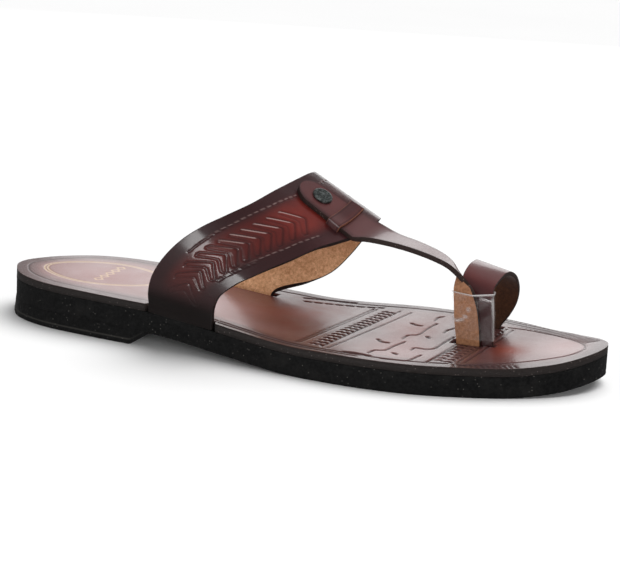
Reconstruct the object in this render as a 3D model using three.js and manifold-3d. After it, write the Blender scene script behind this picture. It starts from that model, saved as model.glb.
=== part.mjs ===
// Leather chappal with a toe loop, right shoe, in millimetres.
// X runs from the heel to the toe, Y to the medial side and Z up from the floor.
import * as THREE from 'three';
import { mergeVertices } from 'three/addons/utils/BufferGeometryUtils.js';
import Module from 'manifold-3d';

const wasm = await Module();
wasm.setup();

// Driving sizes of the last
const footLength = 285;
const ballWidth = 101.6;
const instepHeight = 64;
const loopHeight = 33;
const toeSpring = 5.2;
const heelLift = 7.9;

// Layers of the sole
const outsoleThickness = 9.4;
const insoleThickness = 3.4;
const heelBreast = 76.5;
const heelFlare = 1.5;
const heelEdgeRadius = 2;
const outsoleEdgeRadius = 1.2;
const insoleEdgeRadius = 0.7;

// Leather walls and widths
const bandWall = 2.6;
const strapWall = 2.2;
const loopWall = 1.9;
const keeperWall = 1.3;
const tailWidth = 19;
const postWidth = 11;
const keeperWidth = 7;

// Rivet and film sleeve
const rivetHeadRadius = 4.5;
const rivetHeadHeight = 1.5;
const rivetShankRadius = 1.7;
const rivetWasherRadius = 3;
const rivetWasherHeight = 0.8;
const sleeveHeight = 21;
const sleeveLift = 2.4;
const sleeveWall = 0.5;

// Clearances
const layerGap = 0.3;
const strapGap = 0.3;
const slotGap = 0.35;
const keeperGap = 0.35;
const washerGap = 0.45;
const seamSink = 1;

// Fineness of the meshes
const soleStations = 46;
const edgeRings = 3;
const bandFineness = { rows: 56, columns: 5 };
const strapFineness = { rows: 60, columns: 6 };
const loopFineness = { rows: 44, columns: 3 };
const keeperFineness = { rows: 40, columns: 2 };
const rivetFacets = 28;
const holeFacets = 24;
const rivetArcPoints = 4;
const sleeveRings = 7;
const sleeveDirections = 20;
const outlineSamples = 400;
const probe = 1e-3;

// Reach of the film sleeve round the loop, and how near to a ring the leather counts
const loopLateralShare = 0.36;
const sleeveWindow = 0.9;

// Domed rivet head, as shares of its radius and height
const rivetRimRise = 0.45;
const rivetShoulderRise = 0.85;
const rivetShoulderOut = 0.92;
const rivetCrownOut = 0.78;
const rivetCrownPull = 0.35;

// Depth that a cutter goes past what it cuts, and the length of the rivet's hole cutter
const cutDepth = 1;
const rivetHoleLength = 20;

// Surface of each piece
const finishes = {
  outsole: { color: 0x17181a, roughness: 0.75 },
  heel: { color: 0x141516, roughness: 0.8 },
  insole: { color: 0x6a3428, roughness: 0.45 },
  upper: { color: 0x5a1f22, roughness: 0.35 },
  strap_keeper: { color: 0x4a2428, roughness: 0.35 },
  rivet: { color: 0x34363a, roughness: 0.35, metalness: 0.9 },
  toe_loop: { color: 0x4d1c20, roughness: 0.35 },
  post_sleeve: { color: 0xd8c8c0, roughness: 0.15 },
};

// Lift of the outsole's underside, as a share of heelLift or toeSpring
const liftTable = [
  { along: 0, lift: heelLift },
  { along: 0.28, lift: heelLift * 0.85 },
  { along: 0.44, lift: heelLift * 0.38 },
  { along: 0.58, lift: 0 },
  { along: 0.87, lift: 0 },
  { along: 0.94, lift: toeSpring * 0.3 },
  { along: 1, lift: toeSpring },
];

// Sole outline: along as a share of footLength, sides as shares of ballWidth
const outlineTable = [
  { along: 0, medial: 0.012, lateral: 0.012 },
  { along: 0.012, medial: 0.118, lateral: -0.1 },
  { along: 0.04, medial: 0.222, lateral: -0.204 },
  { along: 0.1, medial: 0.332, lateral: -0.294 },
  { along: 0.17, medial: 0.364, lateral: -0.334 },
  { along: 0.25, medial: 0.357, lateral: -0.364 },
  { along: 0.34, medial: 0.343, lateral: -0.389 },
  { along: 0.42, medial: 0.341, lateral: -0.428 },
  { along: 0.5, medial: 0.371, lateral: -0.469 },
  { along: 0.58, medial: 0.433, lateral: -0.498 },
  { along: 0.66, medial: 0.486, lateral: -0.512 },
  { along: 0.74, medial: 0.49, lateral: -0.493 },
  { along: 0.82, medial: 0.455, lateral: -0.427 },
  { along: 0.9, medial: 0.372, lateral: -0.32 },
  { along: 0.96, medial: 0.262, lateral: -0.19 },
  { along: 0.99, medial: 0.156, lateral: -0.068 },
  { along: 1, medial: 0.055, lateral: 0.055 },
];

// Outer face of the instep band, one row per section from the lateral foot over the crest to the medial foot.
// Each point is [along, across, rise]: shares of footLength and ballWidth,
// and of instepHeight above the footbed.
const bandTable = [
  { rear: [0.299, -0.377, 0], front: [0.414, -0.424, 0] },
  { rear: [0.302, -0.406, 0.108], front: [0.415, -0.423, 0.089] },
  { rear: [0.309, -0.417, 0.227], front: [0.424, -0.425, 0.192] },
  { rear: [0.327, -0.421, 0.37], front: [0.445, -0.416, 0.285] },
  { rear: [0.353, -0.413, 0.512], front: [0.472, -0.4, 0.371] },
  { rear: [0.385, -0.396, 0.637], front: [0.504, -0.359, 0.464] },
  { rear: [0.422, -0.354, 0.749], front: [0.533, -0.295, 0.54] },
  { rear: [0.451, -0.281, 0.835], front: [0.56, -0.224, 0.611] },
  { rear: [0.47, -0.157, 0.907], front: [0.581, -0.138, 0.641] },
  { rear: [0.478, -0.054, 0.937], front: [0.598, -0.049, 0.667] },
  { rear: [0.486, 0.054, 0.966], front: [0.607, 0.039, 0.695] },
  { rear: [0.491, 0.133, 0.982], front: [0.613, 0.123, 0.728] },
  { rear: [0.492, 0.212, 0.972], front: [0.609, 0.197, 0.722] },
  { rear: [0.482, 0.276, 0.896], front: [0.596, 0.266, 0.667] },
  { rear: [0.461, 0.313, 0.761], front: [0.575, 0.313, 0.555] },
  { rear: [0.433, 0.325, 0.582], front: [0.548, 0.325, 0.385] },
  { rear: [0.402, 0.32, 0.389], front: [0.518, 0.313, 0.226] },
  { rear: [0.368, 0.295, 0.195], front: [0.479, 0.287, 0.108] },
  { rear: [0.33, 0.217, 0], front: [0.429, 0.207, 0] },
];

// Free run of the toe strap's grain face, from the band down to the post, in the same shares
const strapTable = [
  { medial: [0.626, 0.113, 0.7], lateral: [0.6175, -0.08, 0.67] },
  { medial: [0.651, 0.098, 0.664], lateral: [0.655, -0.074, 0.658] },
  { medial: [0.69, 0.079, 0.63], lateral: [0.697, -0.069, 0.627] },
  { medial: [0.723, 0.06, 0.592], lateral: [0.733, -0.064, 0.584] },
  { medial: [0.742, 0.044, 0.557], lateral: [0.754, -0.059, 0.545] },
  { medial: [0.7545, 0.03, 0.513], lateral: [0.77, -0.051, 0.49] },
  { medial: [0.762, 0.012, 0.46], lateral: [0.7835, -0.044, 0.432] },
];

// Foot of the toe strap beside the loop, its grain face against the loop.
// Turn is a share of a right angle and width a share of postWidth.
const postTable = [
  { along: 0.78, rise: 0.38, turn: 0.22, width: 0.9 },
  { along: 0.7825, rise: 0.28, turn: 0.07, width: 0.96 },
  { along: 0.785, rise: 0.16, turn: 0, width: 1 },
  { along: 0.79, rise: 0, turn: 0, width: 0.96 },
];

// Outer face of the toe loop from its lateral wall over the top to its medial foot.
// Rise is a share of loopHeight.
const loopTable = [
  { rear: [0.77, -0.028, 0], front: [0.827, -0.028, 0] },
  { rear: [0.7695, -0.028, 0.35], front: [0.825, -0.028, 0.33] },
  { rear: [0.769, -0.026, 0.69], front: [0.822, -0.028, 0.64] },
  { rear: [0.7695, 0, 0.885], front: [0.821, 0.006, 0.775] },
  { rear: [0.77, 0.06, 0.975], front: [0.8225, 0.079, 0.85] },
  { rear: [0.77, 0.147, 1], front: [0.825, 0.152, 0.888] },
  { rear: [0.77, 0.235, 0.965], front: [0.828, 0.22, 0.867] },
  { rear: [0.7705, 0.3, 0.83], front: [0.8315, 0.285, 0.764] },
  { rear: [0.771, 0.333, 0.62], front: [0.8335, 0.325, 0.576] },
  { rear: [0.7685, 0.337, 0.39], front: [0.83, 0.335, 0.364] },
  { rear: [0.7605, 0.325, 0.18], front: [0.821, 0.325, 0.18] },
  { rear: [0.751, 0.3, 0], front: [0.809, 0.3, 0] },
];

// Where things sit on the band: section is a row of bandTable, shares run from its rear to its front edge
const strapSection = 9.5;
const tailTipShare = 0.1;
const rivetShare = 0.39;
const keeperShare = 0.75;

// How the toe strap's length is shared out between its tail and its free run
const tailEndU = 0.36;
const tailBias = 1.6;
const tailTipReach = 0.06;
const crownRun = 0.4;

// Smooth curve through rows that never overshoots them, so a flat stretch stays flat
function smoothTable(rows, key, value) {
  const last = rows.length - 1;
  const slopes = [];
  for (let i = 0; i < last; i += 1) {
    slopes.push((rows[i + 1][value] - rows[i][value]) / (rows[i + 1][key] - rows[i][key]));
  }
  const tangents = rows.map((row, i) => {
    if (i === 0) return slopes[0];
    if (i === last) return slopes[last - 1];
    const before = slopes[i - 1];
    const after = slopes[i];
    return before * after > 0 ? (2 * before * after) / (before + after) : 0;
  });
  return (position) => {
    let i = 0;
    while (i < last - 1 && position > rows[i + 1][key]) i += 1;
    const span = rows[i + 1][key] - rows[i][key];
    const t = THREE.MathUtils.clamp((position - rows[i][key]) / span, 0, 1);
    const rise = rows[i + 1][value] - rows[i][value];
    const startPull = tangents[i] * span;
    const endPull = tangents[i + 1] * span;
    const cubic = startPull + endPull - 2 * rise;
    const square = 3 * rise - 2 * startPull - endPull;
    return rows[i][value] + t * (startPull + t * (square + t * cubic));
  };
}

const liftAlong = smoothTable(liftTable, 'along', 'lift');

const undersideZ = (x) => liftAlong(x / footLength);
const outsoleTopZ = (x) => undersideZ(x) + outsoleThickness;
const insoleBaseZ = (x) => outsoleTopZ(x) + layerGap;
const footbedZ = (x) => insoleBaseZ(x) + insoleThickness;

// Outline sides by the angle of an ellipse, so that heel and toe close in round ends
const angleOf = (along) => Math.acos(1 - 2 * along) / Math.PI;
const outlineCurve = (side) => new THREE.CatmullRomCurve3(
  outlineTable.map((row) => new THREE.Vector3(angleOf(row.along), row[side], 0)), false, 'centripetal');
const outlineCurves = { medial: outlineCurve('medial'), lateral: outlineCurve('lateral') };
function outlineShares(side) {
  const points = outlineCurves[side].getPoints(outlineSamples);
  return (angle) => {
    let i = 0;
    while (i < outlineSamples - 1 && points[i + 1].x < angle) i += 1;
    const t = (angle - points[i].x) / (points[i + 1].x - points[i].x);
    return THREE.MathUtils.lerp(points[i].y, points[i + 1].y, t);
  };
}

const sides = { medial: outlineShares('medial'), lateral: outlineShares('lateral') };

// Pairs of medial and lateral points, from the heel's end to xEnd
function outlinePairs(xEnd) {
  const endAngle = angleOf(xEnd / footLength);
  const pairs = [];
  for (let i = 0; i <= soleStations; i += 1) {
    const angle = (endAngle * i) / soleStations;
    const x = (footLength * (1 - Math.cos(Math.PI * angle))) / 2;
    pairs.push([
      new THREE.Vector2(x, sides.medial(angle) * ballWidth),
      new THREE.Vector2(x, sides.lateral(angle) * ballWidth),
    ]);
  }
  return pairs;
}

// One layer of the sole: rings of the outline, each moved outwards by its own amount, capped above and below
function soleLayer(xEnd, rings) {
  const pairs = outlinePairs(xEnd);
  const last = pairs.length - 1;
  const toePoint = pairs[last][0].distanceTo(pairs[last][1]) < layerGap;
  const lateralStart = toePoint ? last - 1 : last;
  const loop = pairs.map((pair) => pair[0]);
  for (let i = lateralStart; i > 0; i -= 1) loop.push(pairs[i][1]);
  const count = loop.length;
  const positions = [];
  rings.forEach(({ out, height }) => {
    loop.forEach((point, i) => {
      const before = loop[(i + count - 1) % count];
      const after = loop[(i + 1) % count];
      const normal = new THREE.Vector2(before.y - after.y, after.x - before.x).normalize();
      if (!toePoint && (i === last || i === last + 1)) normal.x = 0;
      positions.push(point.x + normal.x * out, point.y + normal.y * out, height(point.x));
    });
  });
  const index = [];
  const quad = (a, b, c, d) => index.push(a, b, c, a, c, d);
  for (let r = 0; r < rings.length - 1; r += 1) {
    for (let i = 0; i < count; i += 1) {
      const next = (i + 1) % count;
      quad(r * count + next, r * count + i, (r + 1) * count + i, (r + 1) * count + next);
    }
  }
  const topStart = (rings.length - 1) * count;
  for (let i = 0; i < last; i += 1) {
    const far = i + 1;
    const lateral = i === 0 ? 0 : count - i;
    const lateralFar = count - far;
    if (i > 0) index.push(i, far, lateral, topStart + far, topStart + i, topStart + lateral);
    if (i < last - 1 || !toePoint) {
      index.push(far, lateralFar, lateral, topStart + far, topStart + lateral, topStart + lateralFar);
    }
  }
  return meshGeometry(positions, index);
}

function meshGeometry(positions, index) {
  const geometry = new THREE.BufferGeometry();
  geometry.setAttribute('position', new THREE.Float32BufferAttribute(positions, 3));
  geometry.setIndex(index);
  return geometry;
}

// Rings of a rounded lower edge
function roundedEdge(radius, base, out = 0) {
  const rings = [];
  for (let i = 0; i <= edgeRings; i += 1) {
    const angle = (i / edgeRings) * (Math.PI / 2);
    const inset = radius * (1 - Math.sin(angle));
    const rise = radius * (1 - Math.cos(angle));
    rings.push({ out: out - inset, height: (x) => base(x) + rise });
  }
  return rings;
}

// Leather sheet: a face with u along and v across, given a wall on its inner side and closed all round
function sheetSolid(face, { rows, columns }, wall, options = {}) {
  const { grow = 0, rowStart = 0, rowEnd = 1, columnStart = 0, columnEnd = 1 } = options;
  const outer = [];
  const inner = [];
  for (let i = 0; i <= rows; i += 1) {
    const u = THREE.MathUtils.lerp(rowStart, rowEnd, i / rows);
    for (let j = 0; j <= columns; j += 1) {
      const v = THREE.MathUtils.lerp(columnStart, columnEnd, j / columns);
      const point = face(u, v);
      const alongU = face(Math.min(u + probe, 1), v).sub(face(Math.max(u - probe, 0), v));
      const alongV = face(u, v + probe).sub(face(u, v - probe));
      const normal = alongV.cross(alongU).normalize();
      const depth = typeof wall === 'function' ? wall(u) : wall;
      outer.push(point.clone().addScaledVector(normal, grow));
      inner.push(point.clone().addScaledVector(normal, -depth - grow));
    }
  }
  const positions = [...outer, ...inner].flatMap((point) => point.toArray());
  const index = [];
  const quad = (a, b, c, d) => index.push(a, b, c, a, c, d);
  const across = columns + 1;
  const under = outer.length;
  const at = (i, j) => i * across + j;
  for (let i = 0; i < rows; i += 1) {
    for (let j = 0; j < columns; j += 1) {
      quad(at(i, j), at(i, j + 1), at(i + 1, j + 1), at(i + 1, j));
      quad(under + at(i, j), under + at(i + 1, j), under + at(i + 1, j + 1), under + at(i, j + 1));
    }
    quad(at(i, 0), at(i + 1, 0), under + at(i + 1, 0), under + at(i, 0));
    quad(at(i + 1, columns), at(i, columns), under + at(i, columns), under + at(i + 1, columns));
  }
  for (let j = 0; j < columns; j += 1) {
    quad(at(0, j + 1), at(0, j), under + at(0, j), under + at(0, j + 1));
    quad(at(rows, j), at(rows, j + 1), under + at(rows, j + 1), under + at(rows, j));
  }
  return meshGeometry(positions, index);
}

// Face ruled between two edge curves
function ruledFace(firstEdge, secondEdge) {
  return (u, v) => {
    const start = firstEdge.getPoint(u);
    return start.lerp(secondEdge.getPoint(u), v);
  };
}

const smoothCurve = (points) => new THREE.CatmullRomCurve3(points, false, 'centripetal');

function tablePoint(row, side, height) {
  const [along, across, rise] = row[side];
  const x = along * footLength;
  return new THREE.Vector3(x, across * ballWidth, footbedZ(x) + rise * height);
}

// The end of a strap below the footbed, standing on the outsole; extra takes a cutter deeper
function seatPoint(point, extra = 0) {
  return new THREE.Vector3(point.x, point.y, outsoleTopZ(point.x) + layerGap - extra);
}

// Edge of a strap whose two ends go down through the insole
function footedEdge(table, side, height, extra) {
  const points = table.map((row) => tablePoint(row, side, height));
  return smoothCurve([seatPoint(points[0], extra), ...points, seatPoint(points[points.length - 1], extra)]);
}

// Instep band
const bandSpans = bandTable.length + 1;
const bandFaceWith = (extra) => ruledFace(
  footedEdge(bandTable, 'rear', instepHeight, extra), footedEdge(bandTable, 'front', instepHeight, extra));
const bandFace = bandFaceWith(0);
const bandU = (section) => (section + 1) / bandSpans;

function bandFrameAt(u, share) {
  const alongBand = bandFace(u + probe, share).sub(bandFace(u - probe, share)).divideScalar(2 * probe);
  const alongStrap = bandFace(u, share + probe).sub(bandFace(u, share - probe)).divideScalar(2 * probe);
  const normal = alongStrap.clone().cross(alongBand).normalize();
  return { point: bandFace(u, share), normal, alongBand, alongStrap };
}

// A spot on the band beside the strap's centre line, measured at a right angle to the strap
function bandFrame(across, share) {
  const u = bandU(strapSection);
  const { normal, alongBand, alongStrap } = bandFrameAt(u, share);
  const strapAxis = alongStrap.clone().normalize();
  const sideways = normal.clone().cross(strapAxis);
  const moveU = across / alongBand.dot(sideways);
  const moveShare = -(moveU * alongBand.dot(strapAxis)) / alongStrap.length();
  return bandFrameAt(u + moveU, share + moveShare);
}

function bandPoint(across, share, height) {
  const { point, normal } = bandFrame(across, share);
  return point.addScaledVector(normal, height);
}

const bandWidthAtStrap = bandFace(bandU(strapSection), 0).distanceTo(bandFace(bandU(strapSection), 1));

// Tail of the toe strap: a round-ended tab that follows the band's own face
const tailRadius = tailWidth / 2;
const tailLength = (1 - tailTipShare) * bandWidthAtStrap;

function tailPoint(reach, v) {
  const fromCentre = Math.max(tailRadius - reach, 0);
  const half = Math.sqrt(tailRadius ** 2 - fromCentre ** 2);
  const share = tailTipShare + reach / bandWidthAtStrap;
  return bandPoint(THREE.MathUtils.lerp(half, -half, v), share, strapWall);
}

const loopFaceWith = (extra) => ruledFace(
  footedEdge(loopTable, 'rear', loopHeight, extra), footedEdge(loopTable, 'front', loopHeight, extra));
const loopFace = loopFaceWith(0);
const [loopFootAlong, loopFootAcross] = loopTable[0].rear;
const loopLateralY = loopFootAcross * ballWidth;

function postRows(extra) {
  const grainY = loopLateralY - strapGap;
  const rows = postTable.map(({ along, rise, turn, width }) => {
    const x = along * footLength;
    const half = (width * postWidth) / 2;
    const angle = turn * (Math.PI / 2);
    const z = footbedZ(x) + rise * instepHeight;
    const reachX = half * Math.cos(angle);
    const reachY = half * Math.sin(angle);
    return {
      medial: new THREE.Vector3(x - reachX, grainY, z),
      lateral: new THREE.Vector3(x + reachX, grainY - 2 * reachY, z),
    };
  });
  const foot = rows[rows.length - 1];
  rows.push({ medial: seatPoint(foot.medial, extra), lateral: seatPoint(foot.lateral, extra) });
  return rows;
}

// Grain face of the whole strap: first the tail, then the free run that turns on its way to the post
function strapFaceWith(extra) {
  const free = strapTable.map((row) => ({
    medial: tablePoint(row, 'medial', instepHeight),
    lateral: tablePoint(row, 'lateral', instepHeight),
  }));
  const lower = [...free, ...postRows(extra)];
  const leadIn = tailLength - tailRadius / 2;
  const edgeCurve = (key, v) => smoothCurve(
    [tailPoint(leadIn, v), tailPoint(tailLength, v), ...lower.map((row) => row[key])]);
  const medialEdge = edgeCurve('medial', 0);
  const lateralEdge = edgeCurve('lateral', 1);
  const spans = lower.length + 1;
  const flat = (v) => tailPoint(tailLength, 0).lerp(tailPoint(tailLength, 1), v);
  return (u, v) => {
    if (u <= tailEndU) {
      const reach = tailTipReach + (tailLength - tailTipReach) * (u / tailEndU) ** tailBias;
      return tailPoint(reach, v);
    }
    const run = (u - tailEndU) / (1 - tailEndU);
    const t = (1 + run * (spans - 1)) / spans;
    const crown = tailPoint(tailLength, v).sub(flat(v));
    const fade = Math.max(0, 1 - run / crownRun) ** 2;
    return medialEdge.getPoint(t).lerp(lateralEdge.getPoint(t), v).addScaledVector(crown, fade);
  };
}

const strapFace = strapFaceWith(0);
const strapDepth = (u) => strapWall + (u < tailEndU ? seamSink : 0);

// Keeper: a bridge over the toe strap whose legs go down through slits in the band
const keeperHalf = tailRadius + keeperGap + keeperWall;
const keeperTop = strapWall + keeperGap + keeperWall;
const keeperCorner = keeperWall + keeperGap;

function keeperFaceWith(legDepth) {
  const path = new THREE.CurvePath();
  const flat = (x, y) => new THREE.Vector2(x, y);
  const cornerX = keeperHalf - keeperCorner;
  const cornerY = keeperTop - keeperCorner;
  const arc = (side, start, end) => new THREE.EllipseCurve(
    side * cornerX, cornerY, keeperCorner, keeperCorner, start, end, true);
  path.add(new THREE.LineCurve(flat(-keeperHalf, -legDepth), flat(-keeperHalf, keeperTop - keeperCorner)));
  path.add(arc(-1, Math.PI, Math.PI / 2));
  path.add(new THREE.LineCurve(flat(-keeperHalf + keeperCorner, keeperTop),
    flat(keeperHalf - keeperCorner, keeperTop)));
  path.add(arc(1, Math.PI / 2, 0));
  path.add(new THREE.LineCurve(flat(keeperHalf, keeperTop - keeperCorner), flat(keeperHalf, -legDepth)));
  const halfShare = keeperWidth / 2 / bandWidthAtStrap;
  return (u, v) => {
    const spot = path.getPoint(THREE.MathUtils.clamp(u, 0, 1));
    const share = keeperShare + THREE.MathUtils.lerp(-halfShare, halfShare, v);
    return bandPoint(spot.x, share, spot.y);
  };
}

// Closed mesh to solid and back
function toSolid(geometry) {
  const bare = geometry.clone();
  bare.deleteAttribute('normal');
  bare.deleteAttribute('uv');
  const merged = mergeVertices(bare);
  return new wasm.Manifold(new wasm.Mesh({
    numProp: 3,
    vertProperties: new Float32Array(merged.attributes.position.array),
    triVerts: new Uint32Array(merged.index.array),
  }));
}

function toGeometry(solid) {
  const mesh = solid.getMesh();
  return meshGeometry(mesh.vertProperties, Array.from(mesh.triVerts));
}

function namedMesh(name, geometry) {
  geometry.computeVertexNormals();
  const mesh = new THREE.Mesh(geometry, new THREE.MeshStandardMaterial(finishes[name]));
  mesh.name = name;
  return mesh;
}

// Cutter shaped as a strap grown all round by the slot's clearance
function strapCutter(face, fineness, wall, width) {
  const extra = slotGap / width;
  return toSolid(sheetSolid(face, fineness, wall,
    { grow: slotGap, columnStart: -extra, columnEnd: 1 + extra }));
}

function makeOutsole() {
  const lower = roundedEdge(outsoleEdgeRadius, undersideZ);
  const geometry = soleLayer(footLength, [...lower, { out: 0, height: outsoleTopZ }]);
  return namedMesh('outsole', geometry);
}

function makeHeel() {
  const lower = roundedEdge(heelEdgeRadius, () => 0, heelFlare);
  const geometry = soleLayer(heelBreast, [...lower, { out: 0, height: (x) => undersideZ(x) - layerGap }]);
  return namedMesh('heel', geometry);
}

function makeInsole() {
  const upperEdge = roundedEdge(insoleEdgeRadius, (x) => -footbedZ(x))
    .map(({ out, height }) => ({ out, height: (x) => -height(x) }))
    .reverse();
  const slab = toSolid(soleLayer(footLength, [{ out: 0, height: insoleBaseZ }, ...upperEdge]));
  const cutters = [
    strapCutter(bandFaceWith(cutDepth), bandFineness, bandWall, bandWidthAtStrap),
    strapCutter(loopFaceWith(cutDepth), loopFineness, loopWall, postWidth),
    strapCutter(strapFaceWith(cutDepth), strapFineness, strapDepth, postWidth),
  ];
  const cut = cutters.reduce((solid, cutter) => solid.subtract(cutter), slab);
  return namedMesh('insole', toGeometry(cut));
}

const rivetSeat = bandFrame(0, rivetShare);

function rivetPlace(object) {
  object.position.copy(rivetSeat.point).addScaledVector(rivetSeat.normal, strapWall);
  object.quaternion.setFromUnitVectors(new THREE.Vector3(0, 0, 1), rivetSeat.normal);
  object.updateMatrix();
  return object;
}

function makeUpper() {
  const band = toSolid(sheetSolid(bandFace, bandFineness, bandWall));
  const strap = toSolid(sheetSolid(strapFace, strapFineness, strapDepth));
  const slits = strapCutter(keeperFaceWith(bandWall + cutDepth), keeperFineness,
    keeperWall, keeperWidth);
  const hole = rivetPlace(new THREE.Object3D());
  const holeRadius = rivetShankRadius + slotGap / 2;
  const holeGeometry = new THREE.CylinderGeometry(holeRadius, holeRadius, rivetHoleLength, holeFacets);
  holeGeometry.rotateX(Math.PI / 2);
  holeGeometry.applyMatrix4(hole.matrix);
  const joined = band.subtract(slits).add(strap).subtract(toSolid(holeGeometry));
  return namedMesh('upper', toGeometry(joined));
}

function makeKeeper() {
  const geometry = sheetSolid(keeperFaceWith(bandWall), keeperFineness, keeperWall);
  return namedMesh('strap_keeper', geometry);
}

function makeRivet() {
  const underside = -strapWall - bandWall - washerGap;
  const headBase = layerGap;
  const shape = new THREE.Shape();
  const rim = headBase + rivetHeadHeight * rivetRimRise;
  const shoulder = headBase + rivetHeadHeight * rivetShoulderRise;
  const crown = headBase + rivetHeadHeight;
  shape.moveTo(0, underside - rivetWasherHeight);
  shape.lineTo(rivetWasherRadius, underside - rivetWasherHeight);
  shape.lineTo(rivetWasherRadius, underside);
  shape.lineTo(rivetShankRadius, underside);
  shape.lineTo(rivetShankRadius, headBase);
  shape.lineTo(rivetHeadRadius, headBase);
  shape.lineTo(rivetHeadRadius, rim);
  shape.quadraticCurveTo(rivetHeadRadius * rivetShoulderOut, shoulder,
    rivetHeadRadius * rivetCrownOut, shoulder);
  shape.quadraticCurveTo(rivetHeadRadius * rivetCrownPull, crown, 0, crown);
  const profile = shape.getPoints(rivetArcPoints);
  profile[0].x = 0;
  profile[profile.length - 1].x = 0;
  const geometry = new THREE.LatheGeometry(profile, rivetFacets);
  geometry.rotateX(Math.PI / 2);
  const mesh = namedMesh('rivet', geometry);
  return rivetPlace(mesh);
}

function makeLoop() {
  const geometry = sheetSolid(loopFace, loopFineness, loopWall);
  return namedMesh('toe_loop', geometry);
}

// Film sleeve: a thin tube drawn round the strap's foot and the loop's lateral wall
function geometryPoints(geometry) {
  const position = geometry.attributes.position;
  const pointAt = (_, i) => new THREE.Vector3().fromBufferAttribute(position, i);
  return Array.from({ length: position.count }, pointAt);
}

function wrappedRing(points, out) {
  const ring = [];
  for (let i = 0; i < sleeveDirections; i += 1) {
    const angle = (i / sleeveDirections) * 2 * Math.PI;
    const direction = new THREE.Vector3(Math.cos(angle), Math.sin(angle), 0);
    const reach = (point) => point.dot(direction);
    const farthest = points.reduce((best, point) => (reach(point) > reach(best) ? point : best));
    ring.push(farthest.clone().addScaledVector(direction, out));
  }
  return ring;
}

function makeSleeve() {
  const loopWallSheet = sheetSolid(loopFace, loopFineness, loopWall, { rowEnd: loopLateralShare });
  const freeStrapSheet = sheetSolid(strapFace, strapFineness, strapDepth, { rowStart: tailEndU });
  const wrapped = [...geometryPoints(loopWallSheet), ...geometryPoints(freeStrapSheet)];
  const baseZ = footbedZ(loopFootAlong * footLength) + sleeveLift;
  const rings = [];
  for (let i = 0; i <= sleeveRings; i += 1) {
    const height = baseZ + (sleeveHeight * i) / sleeveRings;
    const near = wrapped.filter((point) => Math.abs(point.z - height) < sleeveWindow);
    const inner = wrappedRing(near, strapGap);
    const outer = wrappedRing(near, strapGap + sleeveWall);
    rings.push({ height, inner, outer });
  }
  const positions = [];
  rings.forEach(({ height, outer }) => outer.forEach((point) => positions.push(point.x, point.y, height)));
  rings.forEach(({ height, inner }) => inner.forEach((point) => positions.push(point.x, point.y, height)));
  const count = rings[0].outer.length;
  const under = rings.length * count;
  const index = [];
  const quad = (a, b, c, d) => index.push(a, b, c, a, c, d);
  for (let i = 0; i < count; i += 1) {
    const next = (i + 1) % count;
    for (let r = 0; r < sleeveRings; r += 1) {
      const low = r * count;
      const high = low + count;
      quad(low + i, low + next, high + next, high + i);
      quad(under + low + next, under + low + i, under + high + i, under + high + next);
    }
    const top = sleeveRings * count;
    quad(next, i, under + i, under + next);
    quad(top + i, top + next, under + top + next, under + top + i);
  }
  return namedMesh('post_sleeve', meshGeometry(positions, index));
}

const shoe = new THREE.Group();
shoe.add(makeOutsole(), makeHeel(), makeInsole(), makeUpper());
shoe.add(makeKeeper(), makeRivet(), makeLoop(), makeSleeve());

// The origin is on the floor below the middle of the shoe's box
const box = new THREE.Box3().setFromObject(shoe, true);
const middle = box.getCenter(new THREE.Vector3());
shoe.position.set(-middle.x, -middle.y, -box.min.z);

const group = new THREE.Group();
group.add(shoe);

export default group;
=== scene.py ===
# Leather chappal with a toe loop, right shoe. Metres, toe towards +X, medial side towards +Y.
import math

import bmesh
import bpy
import numpy as np
from mathutils import Matrix, Vector, noise


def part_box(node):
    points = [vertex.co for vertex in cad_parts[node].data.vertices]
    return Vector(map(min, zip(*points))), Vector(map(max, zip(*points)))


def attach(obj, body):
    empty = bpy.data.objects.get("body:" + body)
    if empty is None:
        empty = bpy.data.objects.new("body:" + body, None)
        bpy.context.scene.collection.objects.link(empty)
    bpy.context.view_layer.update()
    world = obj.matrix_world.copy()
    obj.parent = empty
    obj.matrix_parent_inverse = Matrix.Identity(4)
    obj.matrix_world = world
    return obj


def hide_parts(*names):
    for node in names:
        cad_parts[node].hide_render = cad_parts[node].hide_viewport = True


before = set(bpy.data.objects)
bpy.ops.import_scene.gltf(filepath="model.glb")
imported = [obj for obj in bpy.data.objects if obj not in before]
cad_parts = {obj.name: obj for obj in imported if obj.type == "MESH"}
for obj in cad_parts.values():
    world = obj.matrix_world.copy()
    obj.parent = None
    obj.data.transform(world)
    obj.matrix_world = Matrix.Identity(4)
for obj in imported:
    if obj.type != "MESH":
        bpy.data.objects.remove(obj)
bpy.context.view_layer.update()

mm = 0.001

# sizes that the pieces share
last = {
    "heelBack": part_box("outsole")[0].x,
    "length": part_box("outsole")[1].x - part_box("outsole")[0].x,
    "ballWidth": 101.6 * mm,
    "instep": 64 * mm,
    "loopHeight": 33 * mm,
    "axisY": 0.98 * mm,
    "layerGap": 0.3 * mm,
    "insoleWall": 3.4 * mm,
    "outsoleWall": 9.4 * mm,
}


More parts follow.
